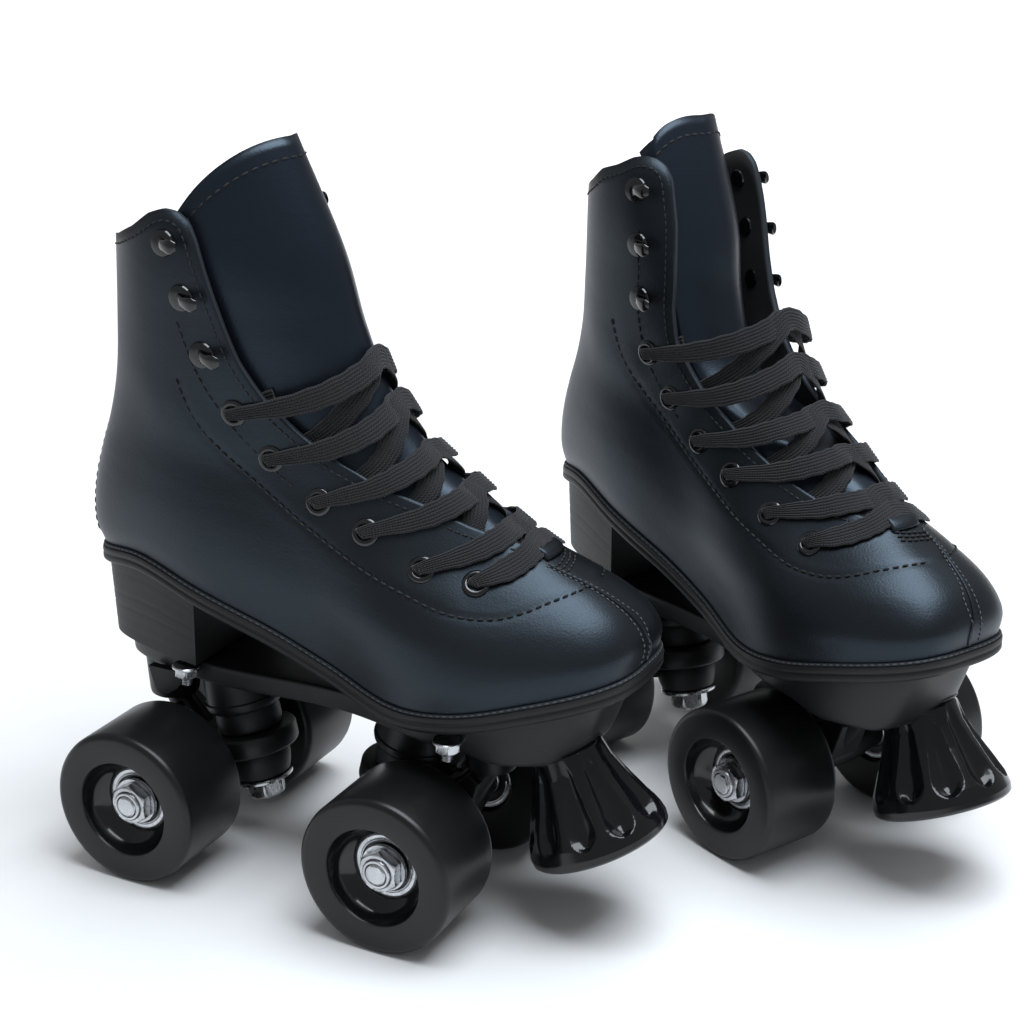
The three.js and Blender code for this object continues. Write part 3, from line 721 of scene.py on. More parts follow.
def offset_rim(distance, inset, side, start, stop):
    """A line on the boot that keeps its distance from a side's free edge."""
    rim = rim_curve(RIM_STEPS, side)
    first, last = int(start * RIM_STEPS), int(stop * RIM_STEPS)
    edge = boot(rim[:, 0], side * rim[:, 1])
    ahead = np.gradient(edge, axis=0)
    ahead /= np.linalg.norm(ahead, axis=1)[:, None]
    away = np.cross(ahead, normals(rim[:, 0], side * rim[:, 1])) * side
    target = (edge + away * distance)[first:last]
    u, turn = rim[first:last, 0].copy(), side * rim[first:last, 1]
    step = 1e-3
    for _ in range(8):  # slides each place over the form towards its target
        here = outside(u, turn)
        along_u = (outside(u + step, turn) - here) / step
        along_turn = (outside(u, turn + step) - here) / step
        gap = target - here
        a, b, c = (along_u ** 2).sum(1), (along_u * along_turn).sum(1), (along_turn ** 2).sum(1)
        p, q = (gap * along_u).sum(1), (gap * along_turn).sum(1)
        det = a * c - b * b
        u = np.clip(u + (p * c - q * b) / det, 0.0, 0.998)
        turn = turn + (q * a - p * b) / det
    path = boot(u, turn, inset)
    kernel = np.ones(7) / 7
    middle = np.stack([np.convolve(column, kernel, "valid") for column in path.T], -1)
    return np.concatenate((path[:1], middle, path[-1:]))


def make_upper_stitching():
    """The vamp seam's stitches, a line along the free edge, and one behind the hooks."""
    shape = Shape()
    for side in (-1, 1):
        stitches(shape, seam_path(VAMP_SEAM, side, 200, PROUD))
        stitches(shape, offset_rim(3.4, PROUD, side, 0.06, 0.99), 2.6)
        back = offset_rim(15.5, PROUD, side, 0.36, 0.60)
        stitches(shape, back[back[:, 2] < HOOK_LINE_TOP], 3.0)
    shape.place("upper_stitches", "boot", ("thread",), slot="synthetic_leather")


TOE_SEAM = ((0.375, -0.19), (0.329, -0.124), (0.277, -0.057), (0.195, -0.018), (0.098, 0.0), (0.02, 0.0))


def make_toe_seam():
    """The seam down the toe's middle: a fold with a pale thread along each side."""
    fold = Shape()
    path = seam_path(TOE_SEAM, -1, 60, -0.05)
    tube(fold, path, 0.55, 8)
    fold.place("toe_seam_fold", "boot", ("leather",), slot="synthetic_leather")
    thread = Shape()
    for shift in (-0.022, 0.022):
        line = [(u, turn + shift) for u, turn in TOE_SEAM]
        stitches(thread, seam_path([(u, min(t, -1e-4)) for u, t in line], -1, 120, -0.15), 1.9, 0.6, 0.26)
    thread.place("toe_seam_stitches", "boot", ("pale_thread",), slot="synthetic_leather")


def make_throat_tab():
    """The small tab at the throat's foot, bar-tacked across."""
    shape = Shape()
    rows = []
    for part in np.linspace(0, 1, 9):
        u = 0.383 + 0.034 * part
        across = np.linspace(-0.15, 0.15, 9)
        rows.append(boot(np.full(9, u), across, -0.9 - 0.9 * math.sin(part * math.pi)))
    shape.grid(rows)
    shape.place("throat_tab", "boot", ("leather", "leather", "edge"), slot="synthetic_leather",
                solidify=(1.3, 1, 2))
    tacks = Shape()
    for u in (0.374, 0.364, 0.354):
        turns = np.linspace(-0.17, 0.15, 40)
        stitches(tacks, boot(np.full(40, u) + 0.008 * np.sin(turns * 9), turns, -0.35), 2.2, 0.85, 0.42)
    tacks.place("throat_bar_tacks", "boot", ("thread",), slot="synthetic_leather")


def make_counter():
    """The strip sewn down the middle of the heel."""
    shape = Shape()
    levels = np.linspace(0.06, HEEL_LEVEL - 0.004, 50)
    half = np.interp(levels, (0.06, 0.35, 0.9), (9.0, 6.5, 5.0))
    rows = []
    for u, wide in zip(levels, half):
        turns = math.pi + np.linspace(-1, 1, 15) * wide / 30.0
        lift = 0.75 * (1 - np.abs(np.linspace(-1, 1, 15)) ** 6)
        rows.append(boot(np.full(15, u), turns, -lift + 0.25))
    shape.grid(rows)
    shape.place("heel_strip", "boot", ("leather", "leather", "edge"), slot="synthetic_leather",
                solidify=(0.9, 1, 2))
    threads = Shape()
    for side in (-1, 1):
        turns = math.pi + side * (half - 1.6) / 30.0
        stitches(threads, boot(levels, turns, -0.28), 3.0, 0.7, 0.3)
    threads.place("heel_strip_stitches", "boot", ("thread",), slot="synthetic_leather")


def make_insole():
    """The footbed, whose middle is dished."""
    shape = Shape()
    turns = np.linspace(0, 2 * math.pi, 96, endpoint=False)
    edge = outside(0.0, turns)
    middle = np.array((14.0, INWARD, 0))
    rows = []
    for share in (1.0, 0.97, 0.9, 0.75, 0.5, 0.25, 0.02):
        ring = edge.copy()
        inset = LEATHER + 1.3
        flat = (edge - middle)[:, :2]
        reach = np.linalg.norm(flat, axis=1)[:, None]
        ring[:, :2] = middle[:2] + flat * (reach - inset) / reach * share
        dish = 2.6 - 1.2 * (1 - share) - (1.4 if share == 1.0 else 0)
        ring[:, 2] = sole_z(ring[:, 0]) + dish
        rows.append(ring)
    bottom = rows[0].copy()
    bottom[:, 2] = sole_z(bottom[:, 0]) + 0.4
    shape.grid([bottom] + rows, closed=True, caps=True)
    shape.place("footbed", "boot", ("lining",), replaces=("insole",), slot="lining")


# ---- Eyelets and hooks -------------------------------------------------------------------------
def make_eyelets():
    """Rolled eyelets: a flange outside, a barrel and the curl inside."""
    shape = Shape()
    profile = [(-2.7, 2.75), (-2.9, 3.9), (-2.55, 4.0), (-2.4, 3.2), (-1.0, 2.7), (0.35, 2.65),
               (0.95, 2.85), (1.12, 3.35), (1.0, 3.95), (0.6, 4.4), (0.15, 4.5), (-0.2, 4.4),
               (-0.3, 3.2), (-1.0, 3.0), (-2.2, 3.0)]
    for outer, outer_turn, inner, inner_turn, _ in LACING:
        for level, turn in ((outer, -outer_turn), (inner, inner_turn)):
            at, n = boot(level, turn), normals(level, turn)
            turned(shape, at - n * 0.35, n, profile + profile[:1], 36)
    shape.place("eyelets", "boot", ("enamel",), slot="steel")


HOOK_DOME = [(-2.6, 0), (-2.6, 3.0), (-2.2, 3.4), (-0.1, 3.4), (0.0, 4.1), (0.5, 4.4), (1.0, 4.1),
             (1.35, 3.0), (1.5, 1.6), (1.5, 0)]
# The stem's height over the leather, how far it reaches forwards, and its half-width.
HOOK_STEM = ((0.8, -0.4, 2.2), (2.2, 0.6, 2.0), (3.6, 2.2, 1.8), (4.7, 4.2, 1.8), (5.3, 6.2, 2.2),
             (5.2, 7.6, 2.4), (4.6, 8.4, 1.5))
HOOK_THICK = 0.62
HOOKS = {-1: ((0.755, 1.578), (0.845, 1.637), (0.912, 1.716)),
         1: ((0.762, 1.493), (0.855, 1.436), (0.923, 1.407))}  # level and angle on each side


def make_hooks():
    """Speed hooks: a riveted dome, and a stem that bends forwards into a flattened knob."""
    shape = Shape()
    for sign, places in HOOKS.items():
        for u, turn in places:
            at, n = boot(u, sign * turn), normals(u, sign * turn)
            ahead = boot(u, sign * (turn - 0.05)) - at
            ahead -= n * ahead.dot(n)
            ahead /= np.linalg.norm(ahead)
            up = np.cross(n, ahead) * (1 if np.cross(n, ahead)[2] > 0 else -1)
            turned(shape, at - n * 0.2, n, HOOK_DOME, 32)
            bend = along([at + n * height + ahead * reach for height, reach, _ in HOOK_STEM], 15)
            wide = np.interp(np.linspace(0, 6, 15), range(7), [row[2] for row in HOOK_STEM])
            flat_tube(shape, bend, wide, HOOK_THICK, up)
    shape.place("speed_hooks", "boot", ("enamel",), slot="steel")


def flat_tube(shape, path, wide, thick, wide_axis):
    """A tube with an oval section, wide along an axis that is kept square to the path."""
    path = np.asarray(path, float)
    wide = np.broadcast_to(np.asarray(wide, float), len(path))
    ahead = np.gradient(path, axis=0)
    ahead /= np.linalg.norm(ahead, axis=1)[:, None]
    turns = np.linspace(0, 2 * np.pi, 16, endpoint=False)
    rows = []
    for p, t, w in zip(path, ahead, wide):
        a = wide_axis - t * wide_axis.dot(t)
        a /= np.linalg.norm(a)
        b = np.cross(t, a)
        rows.append(p + w * np.cos(turns)[:, None] * a + thick * np.sin(turns)[:, None] * b)
    return shape.grid(rows, closed=True, caps=True)


# ---- The tongue --------------------------------------------------------------------------------
TONGUE_COLUMNS, TONGUE_ROWS = 61, 70
TONGUE_WIDEST = 1.71  # angle of its side edges at their widest


def tongue_edge_level(turn):
    """Level of the tongue's upper edge, highest in its middle."""
    return 0.999 - 0.015 * np.abs(turn) ** 2.9


def tongue_reach(u, side):
    """Angle of the tongue's side edge, which stays under the facing."""
    reach = facing_turn(u, side) + np.interp(u, (0.385, 0.5, 0.9, 1.0), (0.35, 0.40, 0.35, 0.5))
    return np.minimum(reach, TONGUE_WIDEST)


def tongue_places(across, part):
    """Level and angle on the tongue from across (-1 to 1) and part (0 at its foot, 1 at its top)."""
    top = tongue_edge_level(across * TONGUE_WIDEST)
    u = 0.405 + (top - 0.405) * part
    reach = np.where(across < 0, tongue_reach(u, -1), tongue_reach(u, 1))
    return u, across * reach


# How far each skate's tongue has fallen back, at six levels from 0.4 to 1, and which way.
TONGUE_FALL = {"right": (0, 0, 0, 0, 0, 0), "left": (0, 0, 20, 23, 20, 17)}
FALL_WAY = np.array((-1.0, 0.0, -0.25))
FALL_EDGE = 1.25  # angle of the inner facing's edge, where the fall begins


def on_tongue(u, turn, side, inset=0.0):
    """A place on a skate's tongue; its inner edge stays under the facing, the rest may fall back."""
    depth = smooth(TONGUE_FALL[side], (u - 0.4) / 0.6)
    share = np.clip(1 - (1 - np.cos(np.maximum(turn, 0))) / (1 - math.cos(FALL_EDGE)), 0, 1)
    return boot(u, turn, TONGUE_INSET + inset) + (depth * share)[..., None] * FALL_WAY


def make_tongue(side):
    """One skate's tongue and the stitches along its upper edge."""
    shape = Shape()
    across = np.linspace(-1, 1, TONGUE_COLUMNS)
    rows = []
    for part in np.linspace(0, 1, TONGUE_ROWS):
        u, turn = tongue_places(across, part)
        wave = 0.2 * np.sin(part * 19 + 2.0 * across) * math.exp(-((part - 0.3) / 0.2) ** 2)
        rows.append(on_tongue(u, turn, side, -wave))
    shape.grid(rows)
    shape.place("tongue_leather", "boot", ("tongue", "lining", "edge"), replaces=("tongue",),
                slot="tongue_leather", solidify=(TONGUE_THICK, 1, 2), smooth=60, sides=(side,))
    threads = Shape()
    u, turn = tongue_places(np.linspace(-0.96, 0.96, 200), 0.972)
    stitches(threads, on_tongue(u, turn, side, -0.12), 3.3, 0.72, 0.36)
    threads.place("tongue_stitches", "boot", ("thread",), slot="tongue_leather", sides=(side,))


# ---- The lace ----------------------------------------------------------------------------------
LACE_HALF, LACE_THICK, LACE_PINCH, LACE_GAP = 4.1, 0.6, 2.1, 0.3


def lace_stations():
    """Stations (pair k, across, inset, half-width) from one top eyelet to the other."""
    clear = LACE_THICK + LACE_GAP
    over, under = -clear - 0.2, LEATHER + clear
    low = TONGUE_INSET - clear - 0.5
    high = low - 2 * clear
    last = len(EYELETS) - 1

    def eyelet(k, side):
        return [(k, side, under, LACE_PINCH), (k, side * 1.02, LEATHER / 2, LACE_PINCH),
                (k, side, over, LACE_PINCH)]

    def crossing(k, side, middle):
        steps = ((0.13, over, 0.85), (0.25, over, 1), (0.38, (over + middle) / 2, 1), (0.5, middle, 1),
                 (0.62, (middle + under) / 2, 1), (0.75, under, 1), (0.87, under, 0.8))
        return [(k - f, side * (1 - 2 * f), inset, LACE_HALF * share) for f, inset, share in steps]

    def half(side, middle):
        run = []
        for k in range(last, -1, -1):
            run += eyelet(k, side) + (crossing(k, side, middle) if k else [])
            side = -side
        return run

    bar = [(0, f, over, LACE_HALF) for f in (0.75, 0.5, 0.25, 0, -0.25, -0.5, -0.75)]
    tails = [[(last, side * 0.8, under, LACE_HALF)] for side in (-1, 1)]
    return np.array(tails[0] + half(-1, high) + bar + half(1, low)[::-1] + tails[1])


RIBS = 7  # cords across the flat lace
LACE_STEPS = 6  # rows between two stations


def lace_section():
    """Across the lace: half-width share and half-thickness share, with a rib for each cord."""
    top = []
    count = RIBS * 6
    for i in range(count + 1):
        a = -1 + 2 * i / count
        rib = 0.45 + 0.55 * abs(math.sin(math.pi * RIBS * (a + 1) / 2))
        top.append((a * 0.97, rib * (1 - 0.55 * abs(a) ** 8)))
    return np.array(top + [(a, -h) for a, h in reversed(top)])


def make_lace():
    """The flat lace, swept along its stations through all the eyelets."""
    stations = lace_stations()
    places = instep(stations[:, 0], stations[:, 1], stations[:, 2])
    toeward = instep(stations[:, 0] - 0.1, stations[:, 1], 0 * stations[:, 2]) \
        - instep(stations[:, 0] + 0.1, stations[:, 1], 0 * stations[:, 2])
    count = (len(stations) - 1) * LACE_STEPS + 1
    t = np.linspace(0, 1, count)
    path = np.stack([smooth(column, t) for column in places.T], -1)
    lean = np.stack([smooth(column, t) for column in toeward.T], -1)
    half = smooth(stations[:, 3], t)
    ahead = np.gradient(path, axis=0)
    ahead /= np.linalg.norm(ahead, axis=1)[:, None]
    wide = lean - ahead * (lean * ahead).sum(1)[:, None]
    wide /= np.linalg.norm(wide, axis=1)[:, None]
    thick = np.cross(ahead, wide)
    section = lace_section()
    ripple = 1 + 0.05 * np.sin(np.arange(count) * 1.7)  # its width varies a little
    bunch = LACE_THICK * (1 + 0.55 * (1 - half / LACE_HALF).clip(0))  # thicker where it is pinched
    rows = path[:, None] + wide[:, None] * (section[:, 0] * (half * ripple)[:, None])[..., None] \
        + thick[:, None] * (section[:, 1] * bunch[:, None])[..., None]
    steps = np.r_[0, np.cumsum(np.linalg.norm(np.diff(path, axis=0), axis=1))]
    uv = [(section[j, 0] * LACE_HALF, s) for s in steps for j in range(len(section))]
    shape = Shape()
    shape.grid(rows, closed=True, caps=True, uv=uv)
    shape.place("lace_braid", "boot", ("lace",), replaces=("lace",), slot="lace_cloth", smooth=70)


# ---- The sole and heel -------------------------------------------------------------------------
SOLE_EDGE = 6
BAND_COLUMNS = 240


def outline(count, out):
    """The sole's outline in plan, moved outwards by out, evenly spaced."""
    turns = even_turns(0.0, count // 2 + 1)
    turns = np.concatenate((turns, -turns[-2:0:-1]))
    points = outside(0.0, turns)
    tangent = np.roll(points, -1, 0) - np.roll(points, 1, 0)
    square = np.stack((tangent[:, 1], -tangent[:, 0]), -1)
    square /= np.linalg.norm(square, axis=1)[:, None]
    outward = np.sign((square * (points[:, :2] - (14, INWARD))).sum(1).mean())
    return points[:, :2] + square * out * outward


def band(shape, profile):
    """A band around the sole: profile of (outwards, height over the sole line)."""
    rows = []
    for out, height in profile:
        plan = outline(BAND_COLUMNS, out)
        rows.append(np.column_stack((plan, sole_z(plan[:, 0]) + height)))
    return shape.grid(rows, closed=True)


def filled_band(shape, profile):
    """A band whose first and last rows are closed to the middle."""
    ends = ((-12, profile[0][1]), (-12, profile[-1][1]))
    band(shape, [ends[0], *profile, ends[1]])
    for out, height in ends:
        plan = outline(BAND_COLUMNS, out)
        n = len(plan) // 2
        left, right = plan[:n + 1], np.concatenate((plan[:1], plan[:n - 1:-1]))
        rows = []
        for k in range(9):
            row = left + (right - left) * k / 8
            rows.append(np.column_stack((row, sole_z(row[:, 0]) + height)))
        shape.grid(rows)


def make_outsole():
    """Midsole with a rounded lip, a parting groove and a stepped lower edge."""
    shape = Shape()
    profile = [(0.2, -0.35), (0.9, -0.2), (1.45, -0.45), (1.6, -1.1), (1.6, -2.2), (1.35, -2.5),
               (1.35, -2.9), (1.6, -3.2), (1.6, -4.6), (1.3, -5.2), (0.5, -5.9), (-0.5, -6.2)]
    filled_band(shape, profile)
    shape.place("sole_edge", "boot", ("sole",), replaces=("outsole",), slot="sole_rubber", smooth=50)


def make_welt():
    """The folded welt between upper and sole, and its pale thread."""
    cord = Shape()
    plan = outline(300, 0.55)
    path = np.column_stack((plan, sole_z(plan[:, 0]) + 0.25))
    ring_tube(cord, path, 0.62)
    cord.place("welt", "boot", ("edge",), slot="synthetic_leather")
    thread = Shape()
    plan = outline(400, 1.02)
    path = np.column_stack((plan, sole_z(plan[:, 0]) + 0.42))
    stitches(thread, path, 2.4, 0.66, 0.22)
    thread.place("welt_stitches", "boot", ("pale_thread",), slot="synthetic_leather")


def ring_tube(shape, path, radius):
    """A thin round tube along a closed path."""
    ahead = np.roll(path, -1, 0) - np.roll(path, 1, 0)
    ahead /= np.linalg.norm(ahead, axis=1)[:, None]
    side = np.cross(ahead, (0, 0, 1.0))
    side /= np.linalg.norm(side, axis=1)[:, None]
    up = np.cross(side, ahead)
    turns = np.linspace(0, 2 * np.pi, 8, endpoint=False)
    rows = path[:, None] + radius * (np.cos(turns)[None, :, None] * side[:, None]
                                     + np.sin(turns)[None, :, None] * up[:, None])
    return shape.grid(rows, closed=True, loop=True)


HEEL_FRONT, HEEL_MIDDLE = -36.5, np.array((-60.0, INWARD))
HEEL_LAYERS = 7


def make_heel():
    """The stacked heel block: thin grooves between its layers and a cap at the bottom."""
    shape = Shape()
    plan = outline(BAND_COLUMNS, -0.1)
    keep = plan[:, 0] < -36
    arc = np.roll(plan, -np.argmax(keep), 0)[:int(keep.sum())]
    top = sole_z(arc[:, 0]) - SOLE_EDGE + 0.8
    away = arc - HEEL_MIDDLE
    reach = np.linalg.norm(away, axis=1)[:, None]
    rows = []
    for part in np.linspace(0, 1, 41):
        groove_in = 0.14 * max(0.0, math.cos(part * math.pi * 2 * HEEL_LAYERS)) ** 14
        taper = 0.6 + 1.4 * part + groove_in + (1.2 if part > 0.985 else 0.0)
        ring = HEEL_MIDDLE + away * (reach - taper) / reach
        ring[:, 0] = np.minimum(ring[:, 0], HEEL_FRONT)
        rows.append(np.column_stack((ring, top + (HEEL_BOTTOM - top) * part)))
    shape.grid(rows, closed=True, caps=True)
    shape.place("heel_block", "boot", ("sole",), slot="sole_rubber", smooth=50)


# ---- Wheels, bearings and nuts -----------------------------------------------------------------
# Profiles are (distance along, radius) pairs, along the axis from its starting point.
WHEEL_PROFILE = [(-7.0, 11.35), (-15.2, 11.4), (-15.9, 12.0), (-16, 13), (-16, 24.6), (-15.85, 25.3),
                 (-15.4, 26.1), (-14.7, 26.7), (-13.6, 27), (0, 27), (13.6, 27), (14.7, 26.75),
                 (15.4, 26.2), (15.85, 25.4), (16, 24.6), (16, 17.3), (15.9, 16.9), (15.5, 16.6)]
RECESS_PROFILE = [(15.5, 16.6), (14.6, 16.45), (12.5, 15.9), (10.6, 14.9), (9.2, 13.6), (8.3, 12.4),
                  (7.8, 11.7), (7.4, 11.2), (7.0, 11.05), (0, 11.05)]
BORE_PROFILE = [(0, 11.05), (-0.2, 8.3), (-7.0, 8.3), (-7.0, 11.35)]
INNER_RACE = [(-6.8, 4.1), (-0.3, 4.1), (0, 4.4), (0, 5.9), (-0.15, 6.1), (-0.9, 6.15)]
SHIELD = [(-0.9, 6.15), (-0.55, 6.4), (-0.4, 7.0), (-0.32, 8.4), (-0.5, 8.9), (-0.5, 9.3)]
OUTER_RACE = [(-0.5, 9.3), (-0.1, 9.4), (0.0, 9.6), (0.0, 10.6), (-0.3, 11.0), (-6.8, 11.0), (-6.8, 4.1)]
CLIP_RADIUS = 9.05
FLANGE = [(44.3, 4.0), (44.3, 7.8), (44.6, 8.1), (45.3, 8.1), (45.7, 7.8), (45.75, 4.0)]
COLLAR_END = [(49.3, 5.3), (50.2, 5.1), (50.6, 4.7), (50.6, 4.0), (49.6, 3.9)]


def axle_point(end, y):
    """A point on an axle's line."""
    return np.array((end * AXLE_X, y, WHEEL_R), float)


def make_wheels():
    """The wheels: a tyre with rounded shoulders and a glossy dished recess."""
    for name, end in ENDS:
        for hand, sign in HANDS:
            body = f"{name}_{hand}_wheel"
            out = np.array((0, sign, 0), float)
            at = axle_point(end, sign * WHEEL_Y)
            tyre = Shape()
            turned(tyre, at, out, WHEEL_PROFILE, 128)
            turned(tyre, at, out, RECESS_PROFILE, 128, mat=1)
            turned(tyre, at, out, BORE_PROFILE, 96, mat=1)
            tyre.place(f"{body}_tyre", body, ("wheel", "hub"), replaces=(body,), slot="wheel_urethane")
            make_bearings(name, hand, body, at, out)


def make_bearings(name, hand, body, at, out):
    """Two shielded bearings: rings, a dark shield pressed in steps, and the crimped clip."""
    shape = Shape()
    for face, way in ((BEARING_OUTER, 1), (BEARING_INNER, -1)):
        start = at + out * face
        axis = out * way
        for profile, mat in ((INNER_RACE, 0), (SHIELD, 1), (OUTER_RACE, 0)):
            turned(shape, start, axis, profile, 64, mat=mat)
        around = [np.array((math.cos(a), 0, math.sin(a)))
                  for a in np.linspace(0.5, 0.5 + 1.88 * math.pi, 60)]
        tube(shape, [start + axis * -0.3 + CLIP_RADIUS * way_out for way_out in around], 0.3, 8)
    shape.place(f"{body}_races", body, ("steel", "dark_steel"),
                replaces=(f"{name}_{hand}_bearings",), slot="steel")


def hex_nut(shape, start, axis, radius, low, high, bore):
    """A hexagon nut with chamfered corners: rows where the radius follows hexagon and cone."""
    axis, a, b = frame_of(axis)
    count = 72
    turns = np.linspace(0, 2 * np.pi, count, endpoint=False)
    flat = radius * math.cos(math.pi / 6)
    hexagon = flat / np.cos((turns + math.pi / 6) % (math.pi / 3) - math.pi / 6)
    ring = np.cos(turns)[:, None] * a + np.sin(turns)[:, None] * b
    depth = (high - low) * 0.16
    chamfer = [(depth * k / 3, flat * 0.99 + (radius - flat) * k / 3) for k in range(4)]
    spots = [(low, bore), *[(low + s, r) for s, r in chamfer],
             *[(high - s, r) for s, r in reversed(chamfer)], (high, bore + 0.5), (high - 0.5, bore)]
    rows = [np.asarray(start) + axis * s + ring * np.minimum(hexagon, limit)[:, None]
            for s, limit in spots]
    return shape.grid(rows, closed=True, loop=True)


def threaded(shape, start, axis, radius, low, high, pitch=1.0, segments=28):
    """A threaded rod: its radius falls and rises once a turn along a helix."""
    axis, a, b = frame_of(axis)
    turns = np.linspace(0, 2 * np.pi, segments, endpoint=False)
    ring = np.cos(turns)[:, None] * a + np.sin(turns)[:, None] * b
    rows = []
    steps = int((high - low) / pitch * 6) + 1
    for s in np.linspace(low, high, steps):
        phase = (s / pitch - turns / (2 * np.pi)) % 1.0
        cut_in = 0.42 * (1 - np.abs(2 * phase - 1)) * min(1.0, (s - low) * 2 + 0.2)
        end_in = 0.5 if s > high - 0.3 else 0.0
        rows.append(np.asarray(start) + axis * s + ring * (radius - cut_in - end_in)[:, None])
    return shape.grid(rows, closed=True, caps=True)


def make_axles():
    """Each axle's rod with threaded ends, and its two flanged lock nuts."""
    for name, end in ENDS:
        truck = f"{name}_truck"
        rod = Shape()
        turned(rod, axle_point(end, -40), (0, 1, 0), [(0, AXLE_R), (80, AXLE_R)], 40, caps=True)
        for sign in (-1, 1):
            threaded(rod, axle_point(end, sign * 39), (0, sign, 0), AXLE_R, 0, AXLE_END - 39)
        rod.place(f"{name}_axle_rod", truck, ("steel",), replaces=(f"{name}_axle",), slot="steel")
        for hand, sign in HANDS:
            nut = Shape()
            start, axis = axle_point(end, 0), np.array((0, sign, 0), float)
            turned(nut, start, axis, FLANGE, 56)
            hex_nut(nut, start, axis, 7.3, 45.75, 49.6, 4.0)
            turned(nut, start, axis, COLLAR_END, 48)
            nut.place(f"{name}_{hand}_flange_nut", truck, ("steel",), replaces=(f"{name}_{hand}_nut",),
                      slot="steel")


# ---- Trucks ------------------------------------------------------------------------------------
WASHER = [(7.5, 3.6), (7.5, 10.0), (7.8, 10.5), (8.6, 10.5), (9.0, 10.1), (9.0, 3.6)]
CUSHIONS = {"lower": [(9.3, 4.2), (9.3, 9.3), (9.7, 9.9), (12, 10.7), (15, 11.3), (17.8, 11.4),
                      (18.5, 11.0), (18.7, 10.4), (18.7, 4.2)],
            "upper": [(27.3, 4.2), (27.3, 10.6), (27.6, 11.1), (29.5, 11.5), (33, 11.4), (35.8, 10.9),
                      (36.5, 10.4), (36.7, 9.8), (36.7, 4.2)]}


def pin(s, end):
    """A point s along a kingpin from its foot."""
    q = PIN_FOOT[0] + s * math.sin(PIN_LEAN)
    return np.array((end * q, 0, PIN_FOOT[1] + s * math.cos(PIN_LEAN)))


def pin_axis(end):
    return np.array((end * math.sin(PIN_LEAN), 0, math.cos(PIN_LEAN)))


def make_kingpins():
    """Kingpins with a threaded foot, a nut and a washer."""
    for name, end in ENDS:
        axis, foot = pin_axis(end), pin(0, end)
        shape = Shape()
        turned(shape, foot, axis, [(0.5, PIN_R), (44, PIN_R)], 36, caps=True)
        threaded(shape, foot, -axis, PIN_R, -8, -0.2)
        hex_nut(shape, foot, axis, 7.2, 1.5, 7.5, 3.6)
        turned(shape, foot, axis, WASHER, 64)
        shape.place(f"{name}_kingpin_bolt", "boot", ("steel",), replaces=(f"{name}_kingpin",),
                    slot="steel")


def make_cushions():
    """Rubber cushions that bulge between their seats."""
    for name, end in ENDS:
        for part, profile in CUSHIONS.items():
            shape = Shape()
            turned(shape, pin(0, end), pin_axis(end), profile + profile[:1], 72)
            shape.place(f"{name}_{part}_rubber", "boot", ("cushion",),
                        replaces=(f"{name}_cushion_{part}",), slot="cushion_rubber")


# ---- Toe stop ----------------------------------------------------------------------------------
STOP_AXIS = np.array((math.sin(STOP_LEAN), 0, -math.cos(STOP_LEAN)))
# The pad's radius along its axis; the flutes' half-width as a share of their spacing, and their depth.
STOP_RADIUS = ((0, 1.0, 7, 14, 21, 27.5, 31.5, 33.6, 34.6, 35),
               (11.9, 12.6, 13.7, 16.4, 19.6, 22.4, 23.4, 23.2, 22.2, 20.4))
FLUTE_HALF = ((1.5, 6, 22, 31), (0.30, 0.56, 0.80, 0.80))
FLUTE_DEPTH = ((0.5, 6, 20, 26, 29), (0, 1.0, 2.3, 3.0, 2.4))
FLUTE_END, FLUTE_ROUND = 28.8, 6.5


def make_toe_stop():
    """A flared pad with a thumb-shaped hollow down each flute."""
    shape = Shape()
    start = np.array((STOP_TOP[0], 0, STOP_TOP[1]), float)
    side = np.array((0, 1.0, 0))
    out = np.cross(side, STOP_AXIS)
    count = FLUTES * 20
    turns = np.linspace(0, 2 * np.pi, count, endpoint=False)
    ring = np.cos(turns)[:, None] * out + np.sin(turns)[:, None] * side
    across = np.abs((turns / (2 * np.pi) * FLUTES + 0.5) % 1.0 * 2 - 1)
    rows = []
    for s in np.r_[np.linspace(0, 31, 90), np.linspace(31.3, 35, 14)]:
        radius, half, depth = [np.interp(s, *table) for table in (STOP_RADIUS, FLUTE_HALF, FLUTE_DEPTH)]
        tip = np.clip((FLUTE_END - s) / FLUTE_ROUND, 0, 1)
        half = half * math.sqrt(1 - (1 - tip) ** 2)
        share = np.clip(1 - (across / half) ** 2, 0, 1) if half > 1e-3 else 0 * across
        rows.append(start + STOP_AXIS * s + ring * (radius - depth * share)[:, None])
    shape.grid(rows, closed=True, caps=True)
    shape.place("toe_stop_pad", "boot", ("stop",), replaces=("toe_stop",), slot="stop_rubber", smooth=50)


# ---- Plate hardware ----------------------------------------------------------------------------
PLATE_BOLTS = ((61, -27, 66), (61, 27, 66), (-43, -20, 67), (-43, 20, 67))
BOLT_WASHER = [(-1.0, 1.9), (-1.0, 4.5), (-0.7, 4.9), (-0.2, 4.9), (0.0, 4.6), (0.0, 1.9)]


def make_plate_bolts():
    """The bolts through plate and sole, seen from below: washer, nut and thread."""
    shape = Shape()
    down = np.array((0, 0, -1.0))
    for x, y, z in PLATE_BOLTS:
        start = np.array((x, y, z), float)
        turned(shape, start, down, BOLT_WASHER, 40)
        hex_nut(shape, start, down, 4.3, 0.0, 3.0, 1.8)
        threaded(shape, start, down, 1.95, -1, 6.5, 0.8, segments=20)
    shape.place("plate_bolts", "boot", ("steel",), slot="steel")


